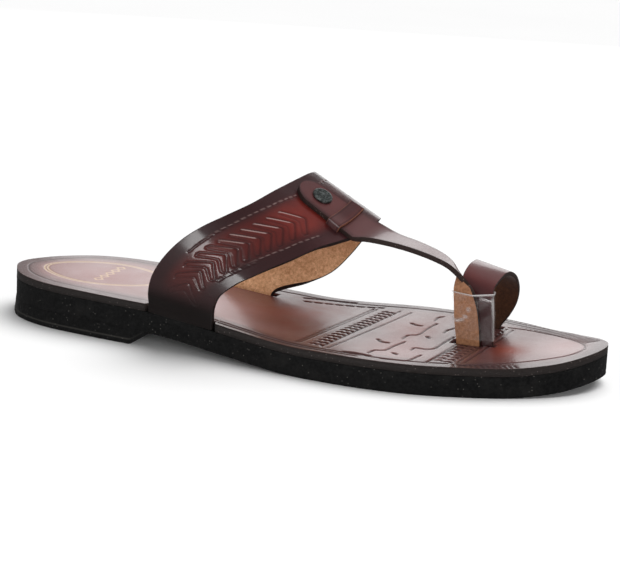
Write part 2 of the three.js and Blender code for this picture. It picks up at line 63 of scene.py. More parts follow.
# curve through points, even where they stand close together
def smoothCurve(points):
    points = [Vector(p) for p in points]
    ends = [2 * points[0] - points[1], 2 * points[-1] - points[-2]]
    padded = [ends[0], *points, ends[1]]
    spans = len(points) - 1

    def at(t):
        place = min(max(t, 0.0), 1.0) * spans
        i = min(int(place), spans - 1)
        w = place - i
        p0, p1, p2, p3 = padded[i:i + 4]
        d0, d1, d2 = [max((b - a).length ** 0.5, 1e-5) for a, b in ((p0, p1), (p1, p2), (p2, p3))]
        m1 = ((p1 - p0) / d0 - (p2 - p0) / (d0 + d1) + (p2 - p1) / d1) * d1
        m2 = ((p2 - p1) / d1 - (p3 - p1) / (d1 + d2) + (p3 - p2) / d2) * d1
        return (p1 + m1 * w + (3 * (p2 - p1) - 2 * m1 - m2) * w ** 2
                + (2 * (p1 - p2) + m1 + m2) * w ** 3)
    return at


# the sole's rim, read from the upward faces of the outsole
def readRim():
    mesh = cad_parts["outsole"].data
    rows = {}
    for face in mesh.polygons:
        if face.normal.z > 0.9:
            for i in face.vertices:
                co = mesh.vertices[i].co
                rows.setdefault(round(co.x, 5), []).append(co)
    stations = sorted(rows)
    medial = [max(rows[x], key=lambda co: co.y) for x in stations]
    lateral = [min(rows[x], key=lambda co: co.y) for x in stations]
    return smoothCurve(medial), smoothCurve(lateral)


medialRim, lateralRim = readRim()


def rimT(x):
    along = min(max((x - last["heelBack"]) / last["length"], 0.0), 1.0)
    return math.acos(1 - 2 * along) / math.pi


def outsoleTopZ(x):
    return medialRim(rimT(x)).z


def footbedZ(x):
    return outsoleTopZ(x) + last["layerGap"] + last["insoleWall"]


def rimRow(x):
    t = rimT(x)
    return lateralRim(t).y, medialRim(t).y


# rows of a sole piece, closer together where heel and toe turn round
def easedShare(k, ease=0.06):
    if k < ease:
        share = k * k / (2 * ease)
    elif k > 1 - ease:
        share = 1 - ease - (1 - k) ** 2 / (2 * ease)
    else:
        share = k - ease / 2
    return share / (1 - ease)


def tablePoint(side, height):
    along, across, rise = side
    x = last["heelBack"] + along * last["length"]
    return Vector((x, last["axisY"] + across * last["ballWidth"], footbedZ(x) + rise * height))


def seatPoint(point):
    return Vector((point.x, point.y, outsoleTopZ(point.x) + last["layerGap"]))


def footedEdge(sides, height):
    points = [tablePoint(side, height) for side in sides]
    return smoothCurve([seatPoint(points[0]), *points, seatPoint(points[-1])])


# instep band: rear and front edge of each section, as shares of length, ball width and instep
band = {
    "sections": [
        ((0.299, -0.377, 0), (0.414, -0.424, 0)),
        ((0.302, -0.406, 0.108), (0.415, -0.423, 0.089)),
        ((0.309, -0.417, 0.227), (0.424, -0.425, 0.192)),
        ((0.327, -0.421, 0.37), (0.445, -0.416, 0.285)),
        ((0.353, -0.413, 0.512), (0.472, -0.4, 0.371)),
        ((0.385, -0.396, 0.637), (0.504, -0.359, 0.464)),
        ((0.422, -0.354, 0.749), (0.533, -0.295, 0.54)),
        ((0.451, -0.281, 0.835), (0.56, -0.224, 0.611)),
        ((0.47, -0.157, 0.907), (0.581, -0.138, 0.641)),
        ((0.478, -0.054, 0.937), (0.598, -0.049, 0.667)),
        ((0.486, 0.054, 0.966), (0.607, 0.039, 0.695)),
        ((0.491, 0.133, 0.982), (0.613, 0.123, 0.728)),
        ((0.492, 0.212, 0.972), (0.609, 0.197, 0.722)),
        ((0.482, 0.276, 0.896), (0.596, 0.266, 0.667)),
        ((0.461, 0.313, 0.761), (0.575, 0.313, 0.555)),
        ((0.433, 0.325, 0.582), (0.548, 0.325, 0.385)),
        ((0.402, 0.32, 0.389), (0.518, 0.313, 0.226)),
        ((0.368, 0.295, 0.195), (0.479, 0.287, 0.108)),
        ((0.33, 0.217, 0), (0.429, 0.207, 0)),
    ],
    "wall": 2.6 * mm,
    "rows": 420, "columns": 76,
    "strapSection": 9.5,
    "lineDepth": 0.42 * mm, "lineHalf": 0.62 * mm,
    "apexes": [19.5, 27.5, 34.6, 41.4, 47.1, 52.7, 58.4, 63.6, 69.5, 75.9, 82.6],
}
bandRear = footedEdge([rear for rear, front in band["sections"]], last["instep"])
bandFront = footedEdge([front for rear, front in band["sections"]], last["instep"])


def bandFace(u, v):
    return bandRear(u).lerp(bandFront(u), v)


def bandU(section):
    return (section + 1) / (len(band["sections"]) + 1)


def bandFrameAt(u, share, probe=1e-3):
    alongBand = (bandFace(u + probe, share) - bandFace(u - probe, share)) / (2 * probe)
    rear, front = bandRear(u), bandFront(u)
    alongStrap = front - rear
    normal = alongStrap.cross(alongBand).normalized()
    return rear + (front - rear) * share, normal, alongBand, alongStrap


# a spot beside the strap's centre line, at a right angle to the strap
def bandSpot(across, share):
    u = bandU(band["strapSection"])
    point, normal, alongBand, alongStrap = bandFrameAt(u, share)
    axis = alongStrap.normalized()
    moveU = across / alongBand.dot(normal.cross(axis))
    moveShare = -moveU * alongBand.dot(axis) / alongStrap.length
    point, normal, alongBand, alongStrap = bandFrameAt(u + moveU, share + moveShare)
    return point, normal


def bandPoint(across, share, height):
    point, normal = bandSpot(across, share)
    return point + normal * height


bandWidthAtStrap = (bandFront(bandU(band["strapSection"])) - bandRear(bandU(band["strapSection"]))).length

# toe strap: a round tail on the band, a free run, and the post that turns beside the loop
strap = {
    "free": [
        ((0.626, 0.113, 0.7), (0.6175, -0.08, 0.67)),
        ((0.651, 0.098, 0.664), (0.655, -0.074, 0.658)),
        ((0.69, 0.079, 0.63), (0.697, -0.069, 0.627)),
        ((0.723, 0.06, 0.592), (0.733, -0.064, 0.584)),
        ((0.742, 0.044, 0.557), (0.754, -0.059, 0.545)),
        ((0.7545, 0.03, 0.513), (0.77, -0.051, 0.49)),
        ((0.762, 0.012, 0.46), (0.7835, -0.044, 0.432)),
    ],
    "post": [(0.78, 0.38, 0.22, 0.9), (0.7825, 0.28, 0.07, 0.96), (0.785, 0.16, 0, 1), (0.79, 0, 0, 0.96)],
    "wall": 2.2 * mm, "tailWidth": 19 * mm, "postWidth": 11 * mm, "gap": 0.3 * mm,
    "tailTip": 0.1, "tailEnd": 0.36, "tailBias": 1.6, "tipReach": 0.06 * mm, "crownRun": 0.4,
    "rows": 330, "columns": 26,
}
tailRadius = strap["tailWidth"] / 2
tailLength = (1 - strap["tailTip"]) * bandWidthAtStrap

# toe loop: lateral wall, over the top and down to the medial foot, rise as a share of loopHeight
loop = {
    "sections": [
        ((0.77, -0.028, 0), (0.827, -0.028, 0)),
        ((0.7695, -0.028, 0.35), (0.825, -0.028, 0.33)),
        ((0.769, -0.026, 0.69), (0.822, -0.028, 0.64)),
        ((0.7695, 0, 0.885), (0.821, 0.006, 0.775)),
        ((0.77, 0.06, 0.975), (0.8225, 0.079, 0.85)),
        ((0.77, 0.147, 1), (0.825, 0.152, 0.888)),
        ((0.77, 0.235, 0.965), (0.828, 0.22, 0.867)),
        ((0.7705, 0.3, 0.83), (0.8315, 0.285, 0.764)),
        ((0.771, 0.333, 0.62), (0.8335, 0.325, 0.576)),
        ((0.7685, 0.337, 0.39), (0.83, 0.335, 0.364)),
        ((0.7605, 0.325, 0.18), (0.821, 0.325, 0.18)),
        ((0.751, 0.3, 0), (0.809, 0.3, 0)),
    ],
    "wall": 1.9 * mm, "rows": 220, "columns": 34,
}
loopRear = footedEdge([rear for rear, front in loop["sections"]], last["loopHeight"])
loopFront = footedEdge([front for rear, front in loop["sections"]], last["loopHeight"])


def tailPoint(reach, v):
    half = math.sqrt(tailRadius ** 2 - max(tailRadius - reach, 0) ** 2)
    return bandPoint(half * (1 - 2 * v), strap["tailTip"] + reach / bandWidthAtStrap, strap["wall"])


def postRows():
    grainY = last["axisY"] + loop["sections"][0][0][1] * last["ballWidth"] - strap["gap"]
    rows = []
    for along, rise, turn, width in strap["post"]:
        x = last["heelBack"] + along * last["length"]
        half = width * strap["postWidth"] / 2
        reachX, reachY = half * math.cos(turn * math.pi / 2), half * math.sin(turn * math.pi / 2)
        z = footbedZ(x) + rise * last["instep"]
        rows.append((Vector((x - reachX, grainY, z)), Vector((x + reachX, grainY - 2 * reachY, z))))
    rows.append((seatPoint(rows[-1][0]), seatPoint(rows[-1][1])))
    return rows


freeRows = [(tablePoint(medial, last["instep"]), tablePoint(lateral, last["instep"]))
            for medial, lateral in strap["free"]]
lowerRows = freeRows + postRows()
leadIn = tailLength - tailRadius / 2
strapMedial = smoothCurve([tailPoint(leadIn, 0), tailPoint(tailLength, 0), *[row[0] for row in lowerRows]])
strapLateral = smoothCurve([tailPoint(leadIn, 1), tailPoint(tailLength, 1), *[row[1] for row in lowerRows]])


def strapRow(u):
    if u <= strap["tailEnd"]:
        tail = (u / strap["tailEnd"]) ** strap["tailBias"]
        reach = strap["tipReach"] + (tailLength - strap["tipReach"]) * tail
        return lambda v: tailPoint(reach, v)
    run = (u - strap["tailEnd"]) / (1 - strap["tailEnd"])
    spans = len(lowerRows) + 1
    t = (1 + run * (spans - 1)) / spans
    medial, lateral = strapMedial(t), strapLateral(t)
    fade = max(0, 1 - run / strap["crownRun"]) ** 2
    start, end = tailPoint(tailLength, 0), tailPoint(tailLength, 1)
    return lambda v: medial.lerp(lateral, v) + (tailPoint(tailLength, v) - start.lerp(end, v)) * fade


def bandRow(u):
    rear, front = bandRear(u), bandFront(u)
    return lambda v: rear.lerp(front, v)


def loopRow(u):
    rear, front = loopRear(u), loopFront(u)
    return lambda v: rear.lerp(front, v)


print("curves ready")


# depth of lines pressed along strokes, 0 to 1, for points in the plane
def pressed(spots, strokes, half):
    depth = np.zeros(len(spots))
    for stroke in strokes:
        for start, end in zip(stroke, stroke[1:]):
            a, b = np.array(start[:2]), np.array(end[:2])
            inReach = (spots > np.minimum(a, b) - half) & (spots < np.maximum(a, b) + half)
            near = np.nonzero(inReach.all(1))[0]
            if len(near) == 0:
                continue
            ab = b - a
            t = np.clip((spots[near] - a) @ ab / max(ab @ ab, 1e-12), 0, 1)
            away = np.linalg.norm(spots[near] - (a + t[:, None] * ab), axis=1) / half
            value = np.clip(1 - away ** 2, 0, 1) ** 1.5
            depth[near] = np.maximum(depth[near], value)
    return depth


def dashes(stroke, length, gap):
    curve = smoothCurve([(*p[:2], 0) for p in stroke])
    fine = [curve(i / 400) for i in range(401)]
    out, current, run = [], [], 0.0
    for a, b in zip(fine, fine[1:]):
        run = (run + (b - a).length) % (length + gap)
        if run < length:
            current.append(tuple(b[:2]))
        elif current:
            out.append(current)
            current = []
    return out + ([current] if current else [])


# a grid laid on a face, given a wall, with its cut edges rounded
def leatherSheet(name, rowAt, rows, columns, wall, inside, emboss=None, rounding=0.3 * mm):
    bm = bmesh.new()
    bmesh.ops.create_grid(bm, x_segments=columns, y_segments=rows, size=0.5)
    uLayer = bm.verts.layers.float.new("along")
    vLayer = bm.verts.layers.float.new("across")
    grain = bm.verts.layers.int.new("grainSide")
    laid = {}
    for vert in bm.verts:
        u, v = vert.co.y + 0.5, vert.co.x + 0.5
        vert[uLayer], vert[vLayer], vert[grain] = u, v, 1
        key = round(u, 6)
        if key not in laid:
            laid[key] = rowAt(min(max(key, 0.0), 1.0))
        vert.co = laid[key](v)
    bm.normal_update()
    lean = sum((vert.co - Vector(inside)).dot(vert.normal) for vert in bm.verts)
    outward = 1 if lean > 0 else -1
    normals = {vert: vert.normal.copy() * outward for vert in bm.verts}
    grainVerts = list(bm.verts)
    made = bmesh.ops.extrude_face_region(bm, geom=bm.faces[:], use_keep_orig=True)
    fresh = [part for part in made["geom"] if isinstance(part, bmesh.types.BMVert)]
    bm.normal_update()
    for vert in fresh:
        vert[grain] = 0
        vert.co -= vert.normal * outward * wall
    if emboss:
        depth = emboss(np.array([(vert[uLayer], vert[vLayer]) for vert in grainVerts]))
        for vert, down in zip(grainVerts, depth):
            vert.co -= normals[vert] * down
    bmesh.ops.recalc_face_normals(bm, faces=bm.faces[:])
    for face in bm.faces:
        sides = {vert[grain] for vert in face.verts}
        face.material_index = 1 if len(sides) == 2 else (0 if sides == {1} else 2)
        face.smooth = True
    rim = [edge for edge in bm.edges if len({face.material_index for face in edge.link_faces}) == 2]
    bmesh.ops.bevel(bm, geom=rim, offset=rounding, segments=2, profile=0.5, affect="EDGES", material=1,
                    clamp_overlap=True)
    for face in bm.faces:
        face.smooth = True
    return finishMesh(name, bm)


def finishMesh(name, bm):
    mesh = bpy.data.meshes.new(name)
    bm.to_mesh(mesh)
    bm.free()
    piece = bpy.data.objects.new(name, mesh)
    bpy.context.scene.collection.objects.link(piece)
    return piece


def paint(piece, name, values):
    layer = piece.data.attributes.get(name) or piece.data.attributes.new(name, "FLOAT", "POINT")
    layer.data.foreach_set("value", np.asarray(values, np.float32))


def places(piece):
    co = np.zeros(len(piece.data.vertices) * 3, np.float32)
    piece.data.vertices.foreach_get("co", co)
    return co.reshape(-1, 3)


def readLayer(piece, name):
    values = np.zeros(len(piece.data.vertices), np.float32)
    piece.data.attributes[name].data.foreach_get("value", values)
    return values


def softStep(low, high, values):
    t = np.clip((values - low) / (high - low), 0, 1)
    return t * t * (3 - 2 * t)


# instep band
bandStations = np.linspace(0, 1, 300)
bandMiddle = [bandFace(u, 0.5) for u in bandStations]
bandRun = np.concatenate([[0], np.cumsum([(b - a).length for a, b in zip(bandMiddle, bandMiddle[1:])])])
bandLength = bandRun[-1]
bandWidth = 36 * mm


# chevron of one closed line, its point at s, with both arms falling back
def chevron(s):
    outer = [(-6.4, 0.29), (-5.3, 0.295), (-0.6, 0.49), (0, 0.52),
             (-0.7, 0.55), (-6.6, 0.71), (-7.9, 0.75), (-9.6, 0.75)]
    inner = [(-9.6, 0.75), (-9.6, 0.715), (-5.0, 0.565), (-4.2, 0.525),
             (-4.7, 0.485), (-7.6, 0.31), (-6.4, 0.29)]
    return [[(s + down * mm, v * bandWidth) for down, v in shape] for shape in (outer, inner)]


def bandPattern():
    pairs = [chevron(apex * mm) for apex in band["apexes"]]
    outers, inners = [pair[0] for pair in pairs], [pair[1] for pair in pairs]
    upper = [(34 * mm, 0.2 * bandWidth), (46 * mm, 0.185 * bandWidth), (70 * mm, 0.165 * bandWidth),
             (92 * mm, 0.2 * bandWidth)]
    lower = [(26 * mm, 0.78 * bandWidth), (45 * mm, 0.81 * bandWidth), (78 * mm, 0.85 * bandWidth)]
    lines = dashes(upper[:2], 5.0 * mm, 1.4 * mm) + dashes(upper[1:], 1.7 * mm, 1.5 * mm)
    lines += dashes(lower[:2], 3.1 * mm, 1.3 * mm) + dashes(lower[1:], 1.7 * mm, 1.5 * mm)
    second = dashes(lower[:2], 3.1 * mm, 1.3 * mm)
    lines += [[(x, y + 0.028 * bandWidth) for x, y in line] for line in second]
    return outers, inners, lines


def bandEmboss(uv):
    s = np.interp(uv[:, 0], bandStations, bandRun)
    s = np.minimum(s, bandLength - s)   # the medial side mirrors the lateral one
    spots = np.stack([s, uv[:, 1] * bandWidth], 1)
    outers, inners, lines = bandPattern()
    cut = np.maximum(pressed(spots, outers, band["lineHalf"]),
                     pressed(spots, inners, band["lineHalf"]) * (1 - 0.6 * softStep(38 * mm, 52 * mm, s)))
    cut *= 0.35 + 0.65 * softStep(10 * mm, 34 * mm, s)
    dash = pressed(spots, lines, 0.5 * mm)
    return cut * band["lineDepth"] + dash * 0.3 * mm


def makeBand():
    piece = leatherSheet("instepBand", bandRow, band["rows"], band["columns"], band["wall"],
                         (-0.01, 0.0, 0.02), bandEmboss)
    u, v = readLayer(piece, "along"), readLayer(piece, "across")
    along = np.interp(u, bandStations, bandRun)
    s = np.minimum(along, bandLength - along)
    spots = np.stack([s, v * bandWidth], 1)
    outers, inners, lines = bandPattern()
    groove = np.maximum(pressed(spots, outers, 0.5 * mm), 0.6 * pressed(spots, inners, 0.5 * mm))
    groove *= 0.4 + 0.6 * softStep(10 * mm, 34 * mm, s)
    paint(piece, "groove", np.maximum(groove, pressed(spots, lines, 0.4 * mm)))
    middle = softStep(0.12, 0.34, v) * (1 - softStep(0.62, 0.86, v))
    red = middle * softStep(8 * mm, 26 * mm, s) * (0.62 + 0.38 * softStep(50 * mm, 88 * mm, s))
    red *= 1 - 0.85 * softStep(93 * mm, 103 * mm, along)
    # painted highlights on the ridges behind the rear arms and beside the dashes
    ridges = [[(x - 0.75 * mm, y - 0.1 * mm) for x, y in line[1:3]] for line in outers]
    ridges += [[(x, y - 0.6 * mm) for x, y in line] for line in lines]
    wearAndPaintedHighlight = pressed(spots, ridges[:len(outers)], 0.55 * mm)
    wearAndPaintedHighlight += 0.4 * pressed(spots, ridges[len(outers):], 0.4 * mm)
    paint(piece, "wearAndPaintedHighlight", np.clip(wearAndPaintedHighlight, 0, 1) * softStep(40 * mm, 52 * mm, s))
    # painted shade on the inside: dark over the top, fading out down the medial wall
    paint(piece, "paintedInsideShade", 1 - softStep(112 * mm, 170 * mm, along))
    paint(piece, "burnish", red)
    paint(piece, "shade", 1 - softStep(6 * mm, 16 * mm, s))
    # painted highlight along the front edge of the upper band
    paint(piece, "hazeAndPaintedSheen", softStep(0.72, 1.0, v) * softStep(60 * mm, 90 * mm, s))
    return piece


# insole: printed footbed
insole = {
    "rows": 520, "columns": 156,
    "notchInset": 3.0 * mm, "notchStart": 0.296, "notchEnd": 0.417, "notchEase": 1.2 * mm,
    "lineDepth": 0.5 * mm, "lineHalf": 0.62 * mm, "ringInset": 5.6 * mm,
}


# millimetres from the heel's end and from the last's axis, to the frame
def footPoint(x, y):
    return (last["heelBack"] + x * mm, last["axisY"] + y * mm)


def insoleSides(x):
    lateral, medial = rimRow(x)
    along = (x - last["heelBack"])
    ease = insole["notchEase"]
    start, end = insole["notchStart"] * last["length"], insole["notchEnd"] * last["length"]
    inside = softStep(start - ease, start, along) * (1 - softStep(end, end + ease, along))
    return lateral + insole["notchInset"] * float(inside), medial


def insoleRow(u):
    x = last["heelBack"] + easedShare(u) * last["length"]
    lateral, medial = insoleSides(x)
    z = footbedZ(x)
    return lambda v: Vector((x, lateral + (medial - lateral) * v, z))


# the rim moved inwards by inset, as one closed line, from a share of the length to another
def insetRim(inset, first=0.0, final=1.0, sides=("lateral", "medial"), count=160):
    lines = []
    for side in sides:
        line = []
        for k in range(count + 1):
            x = last["heelBack"] + (first + (final - first) * easedShare(k / count)) * last["length"]
            t = rimT(x)
            rim = lateralRim if side == "lateral" else medialRim
            ahead, behind = rim(min(t + 0.004, 1)), rim(max(t - 0.004, 0))
            run = Vector((ahead.x - behind.x, ahead.y - behind.y)).normalized()
            inward = Vector((-run.y, run.x)) if side == "lateral" else Vector((run.y, -run.x))
            here = rim(t)
            line.append((here.x + inward.x * inset, here.y + inward.y * inset))
        lines.append(line)
    return lines


# a band across the foot: its middle runs from start to end, and offset moves it towards the toe
def acrossLine(start, end, offset):
    return [footPoint(start[0] + offset, start[1]), footPoint(end[0] + offset, end[1])]


def braid(start, end, offset, pitch, reach):
    a, b = Vector(footPoint(*start)), Vector(footPoint(*end))
    run = (b - a).normalized()
    side = Vector((run.y, -run.x))
    if side.x < 0:
        side = -side
    out = []
    steps = int((b - a).length / (pitch * mm))
    for k in range(steps):
        base = a + run * (k + 0.5) * pitch * mm + side * offset * mm
        out.append([tuple(base - side * reach * mm - run * 0.9 * mm), tuple(base + run * 0.7 * mm)])
        out.append([tuple(base + side * reach * mm - run * 0.9 * mm), tuple(base + run * 0.7 * mm)])
    return out


def footStrokes():
    fine = []
    bold = []
    fine += insetRim(insole["ringInset"], 0.0, 0.8)
    fine += insetRim(3.3 * mm, 0.3, 0.66, ("lateral",))
    fine.append(toePanel())
    # first band across
    fine += [acrossLine((157.3, -41), (168.8, 32), 0), acrossLine((157.3, -41), (168.8, 32), 1.6)]
    fine += [acrossLine((173, -43), (186.4, 35), 0), acrossLine((169.6, -42), (181, 35), 0)]
    for offset in (-1.45, 1.45):
        bold += braid((166.2, -41), (177.2, 32), offset, 4.1, 1.3)
    # second band across, at the post
    fine.append(acrossLine((217.4, -42), (225, 33), 0))
    bold.append(acrossLine((217.4, -42), (222, -12), 0))
    for offset in (-2.2, 2.2):
        bold += braid((223.5, -39), (230.5, 29), offset, 4.1, 1.5)
    fine += [acrossLine((229.5, -36), (233.8, 29), 0), acrossLine((232.4, -35), (236.8, 29), 0)]
    # rolling cloud lines in the panel between them
    clouds = [
        [(190.7, -41), (191.9, -35.2), (195.5, -33.4), (197, -25.2), (199.2, -15.4)],
        [(196.7, -11.2), (197.2, -4.3), (200.6, -1.4), (201.5, 11.5), (202.8, 21.5)],
        [(200.3, 26.1), (200.4, 33.3), (202, 35.4)],
        [(205.8, -27.1), (206.2, -22.6), (210.9, -22.7), (213.9, -20.3), (215, -9.9), (216.4, 3.1)],
        [(210.2, 7.6), (210.5, 13), (211.4, 14.7), (214, 24)],
        [(198.3, -46.5), (203.7, -45.8), (209.4, -44.3), (210.8, -38.8), (212, -32.9)],
    ]
    rolls = [[(187.4, -17.6), (190.2, -20.6), (193.2, -20.6)], [(192.2, 16.6), (195, 14.7), (197.5, 14.6)],
             [(180.9, -45), (185.5, -44), (192.7, -45.2)], [(200.4, -35.5), (202.1, -36.8)],
             [(205.4, -2.2), (206.9, -4.1)]]
    bold += [[footPoint(*p) for p in curveOf(line)] for line in clouds]
    rolls = [[footPoint(*p) for p in curveOf(line)] for line in rolls]
    # medial dashes along the waist
    rolls += dashes([footPoint(138, 22), footPoint(152, 28.5), footPoint(172, 36)], 2.6 * mm, 2.4 * mm)
    rolls += dashes([footPoint(136, 27), footPoint(146, 32.5), footPoint(158, 37.5)], 4 * mm, 1.6 * mm)
    return fine, bold, rolls


# outline of the smooth panel under the toes
def toePanel():
    line = [(232, -40), (236, -36.9), (249.6, -25.6), (263.8, -14.3), (272.3, -5.1),
            (275.2, 4.4), (271.8, 14.9),
            (256.9, 28.5), (244.1, 32.5), (234, 32)]
    return [footPoint(*p) for p in curveOf(line, 90)]


def curveOf(line, count=14):
    curve = smoothCurve([(*p, 0) for p in line])
    return [tuple(curve(i / count)[:2]) for i in range(count + 1)]


# short slanted ticks in the border
def ticks(first, final, side, pitch, inner, outer, slant):
    innerLine = insetRim(inner, first, final, (side,), 400)[0]
    outerLine = insetRim(outer, first, final, (side,), 400)[0]
    out, run = [], 0.0
    for k in range(1, 401 - 8):
        run += math.dist(innerLine[k], innerLine[k - 1])
        if run > pitch:
            run = 0.0
            out.append([innerLine[k], outerLine[min(k + slant, 400)]])
    return out


def borderTicks():
    out = ticks(0.76, 0.985, "medial", 2.3 * mm, 8.0 * mm, 1.6 * mm, 6)
    out += ticks(0.8, 0.9, "lateral", 2.3 * mm, 5.0 * mm, 1.4 * mm, 6)
    return out


# plain oval of two lines on the heel, with small lozenges in place of any writing
def heelOval():
    out = []
    for grow in (0, 1.5):
        ring = []
        for k in range(97):
            a = k / 96 * 2 * math.pi
            swell = 1 + 0.08 * math.cos(2 * a)
            ring.append(footPoint(44 + (27 + grow) * math.cos(a) * swell, 2 + (19 + grow) * math.sin(a)))
        out.append(ring)
    return out


def heelLozenges():
    out = []
    x, half = 46, 2.1
    for y in (-9, -3, 3, 9, 15):
        ring = [(x - half, y), (x, y + half * 1.2), (x + half, y), (x, y - half * 1.2), (x - half, y)]
        out.append([footPoint(*p) for p in ring])
    return out


def nearPosts(spots):
    depth = np.zeros(len(spots))
    slots = (((223.7, -3.4), (6.2, 3.2)), ((227.6, -1.8), (8.8, 2.2)),
             ((222.5, 29.8), (9, 2.2)), ((108, 21), (15.5, 2.2)))
    for (x, y), (reachX, reachY) in slots:
        cx, cy = footPoint(x, y)
        d = np.maximum(np.abs(spots[:, 0] - cx) / (reachX * mm), np.abs(spots[:, 1] - cy) / (reachY * mm))
        depth = np.maximum(depth, 1 - softStep(0.92, 1.12, d))
    return depth


def glow(spots, x, y, reachX, reachY):
    cx, cy = footPoint(x, y)
    return np.exp(-((spots[:, 0] - cx) / (reachX * mm)) ** 2 - ((spots[:, 1] - cy) / (reachY * mm)) ** 2)


def makeInsole():
    bm = bmesh.new()
    bmesh.ops.create_grid(bm, x_segments=insole["columns"], y_segments=insole["rows"], size=0.5)
    laid = {}
    for vert in bm.verts:
        key = round(vert.co.y + 0.5, 6)
        if key not in laid:
            laid[key] = insoleRow(min(max(key, 0.0), 1.0))
        vert.co = laid[key](vert.co.x + 0.5)
    bmesh.ops.remove_doubles(bm, verts=bm.verts[:], dist=0.02 * mm)
    top = list(bm.verts)
    spots = np.array([vert.co[:2] for vert in top])
    fine, bold, rolls = footStrokes()
    fineCut = pressed(spots, fine, insole["lineHalf"])
    boldCut = np.maximum(pressed(spots, bold, insole["lineHalf"] * 1.15),
                         pressed(spots, rolls, insole["lineHalf"] * 1.9))
    tickCut = pressed(spots, borderTicks(), 0.6 * mm)
    goldCut = pressed(spots, heelOval() + heelLozenges(), 0.5 * mm)
    slot = nearPosts(spots)
    heelFade = 0.15 + 0.85 * softStep(last["heelBack"] + 90 * mm, last["heelBack"] + 130 * mm, spots[:, 0])
    down = (fineCut * heelFade * 0.7 + boldCut) * insole["lineDepth"] + tickCut * 0.25 * mm
    down += goldCut * 0.08 * mm + slot * 1.4 * mm
    for vert, depth in zip(top, down):
        wave = 0.22 * mm * noise.noise(vert.co * 28)
        vert.co.z += wave - depth
    # the slots by the posts are darkened like the lines, as painted shade in the pits
    groove = np.clip(np.maximum(np.maximum(fineCut * 0.8, boldCut), np.maximum(tickCut * 0.85, slot)), 0, 1)
    # walls below the rim, then a flat underside
    rim = [edge for edge in bm.edges if len(edge.link_faces) == 1]
    made = bmesh.ops.extrude_edge_only(bm, edges=rim)
    low = [part for part in made["geom"] if isinstance(part, bmesh.types.BMVert)]
    for vert in low:
        vert.co.z = outsoleTopZ(vert.co.x) + last["layerGap"] * 0.5
    lowEdges = [part for part in made["geom"] if isinstance(part, bmesh.types.BMEdge)]
    bmesh.ops.contextual_create(bm, geom=lowEdges)
    bmesh.ops.recalc_face_normals(bm, faces=bm.faces[:])
    lowSet = set(low)
    for face in bm.faces:
        face.smooth = True
        lowCount = sum(vert in lowSet for vert in face.verts)
        face.material_index = 1 if lowCount else 0
    index = {vert: i for i, vert in enumerate(top)}
    order = [index.get(vert, -1) for vert in bm.verts]
    piece = finishMesh("insoleBoard", bm)
    order = np.array(order)
    held = order >= 0
    values = np.zeros(len(order))
    values[held] = groove[order[held]]
    paint(piece, "groove", values)
    gold = np.zeros(len(order))
    gold[held] = goldCut[order[held]]
    paint(piece, "gilt", gold)
    co = places(piece)[:, :2]
    red = np.clip(glow(co, 143, -2, 20, 26) + glow(co, 243, -5, 9, 13) + 0.45 * glow(co, 200, -4, 14, 30)
                  + 0.35 * glow(co, 45, 0, 40, 30), 0, 1)
    paint(piece, "burnish", red)
    rimLines = insetRim(0.0, 0.0, 1.0, ("lateral", "medial"), 160)
    edgeNear = pressed(co, rimLines, 11 * mm)
    # painted shade in front of the band and around the post; the shade layer is also darker towards the rim
    # and on the far side of the waist
    paintedShadeNearBand = np.clip(glow(co, 226, -8, 16, 40) + 0.9 * glow(co, 170, 0, 11, 60), 0, 1)
    shade = np.sqrt(edgeNear) * 0.85 + paintedShadeNearBand * 0.55 + 0.5 * glow(co, 158, 36, 24, 12)
    paint(piece, "shade", np.clip(shade, 0, 1))
    # painted reflection of the lamps on the footbed: toe, heel, waist and the panel
    hazeAndPaintedSheen = 0.9 * glow(co, 266, 8, 13, 22) + glow(co, 52, 2, 48, 34) + glow(co, 112, -16, 22, 16)
    hazeAndPaintedSheen += 0.8 * glow(co, 130, -31, 18, 9) + 0.78 * glow(co, 203, -20, 18, 26)
    paint(piece, "hazeAndPaintedSheen", np.clip(hazeAndPaintedSheen, 0, 1))
    return piece


# outsole and heel: rubber blocks
rubber = {"rows": 240, "columns": 40, "jitter": 0.16 * mm, "heelBreast": 76.5 * mm, "flare": 1.5 * mm}


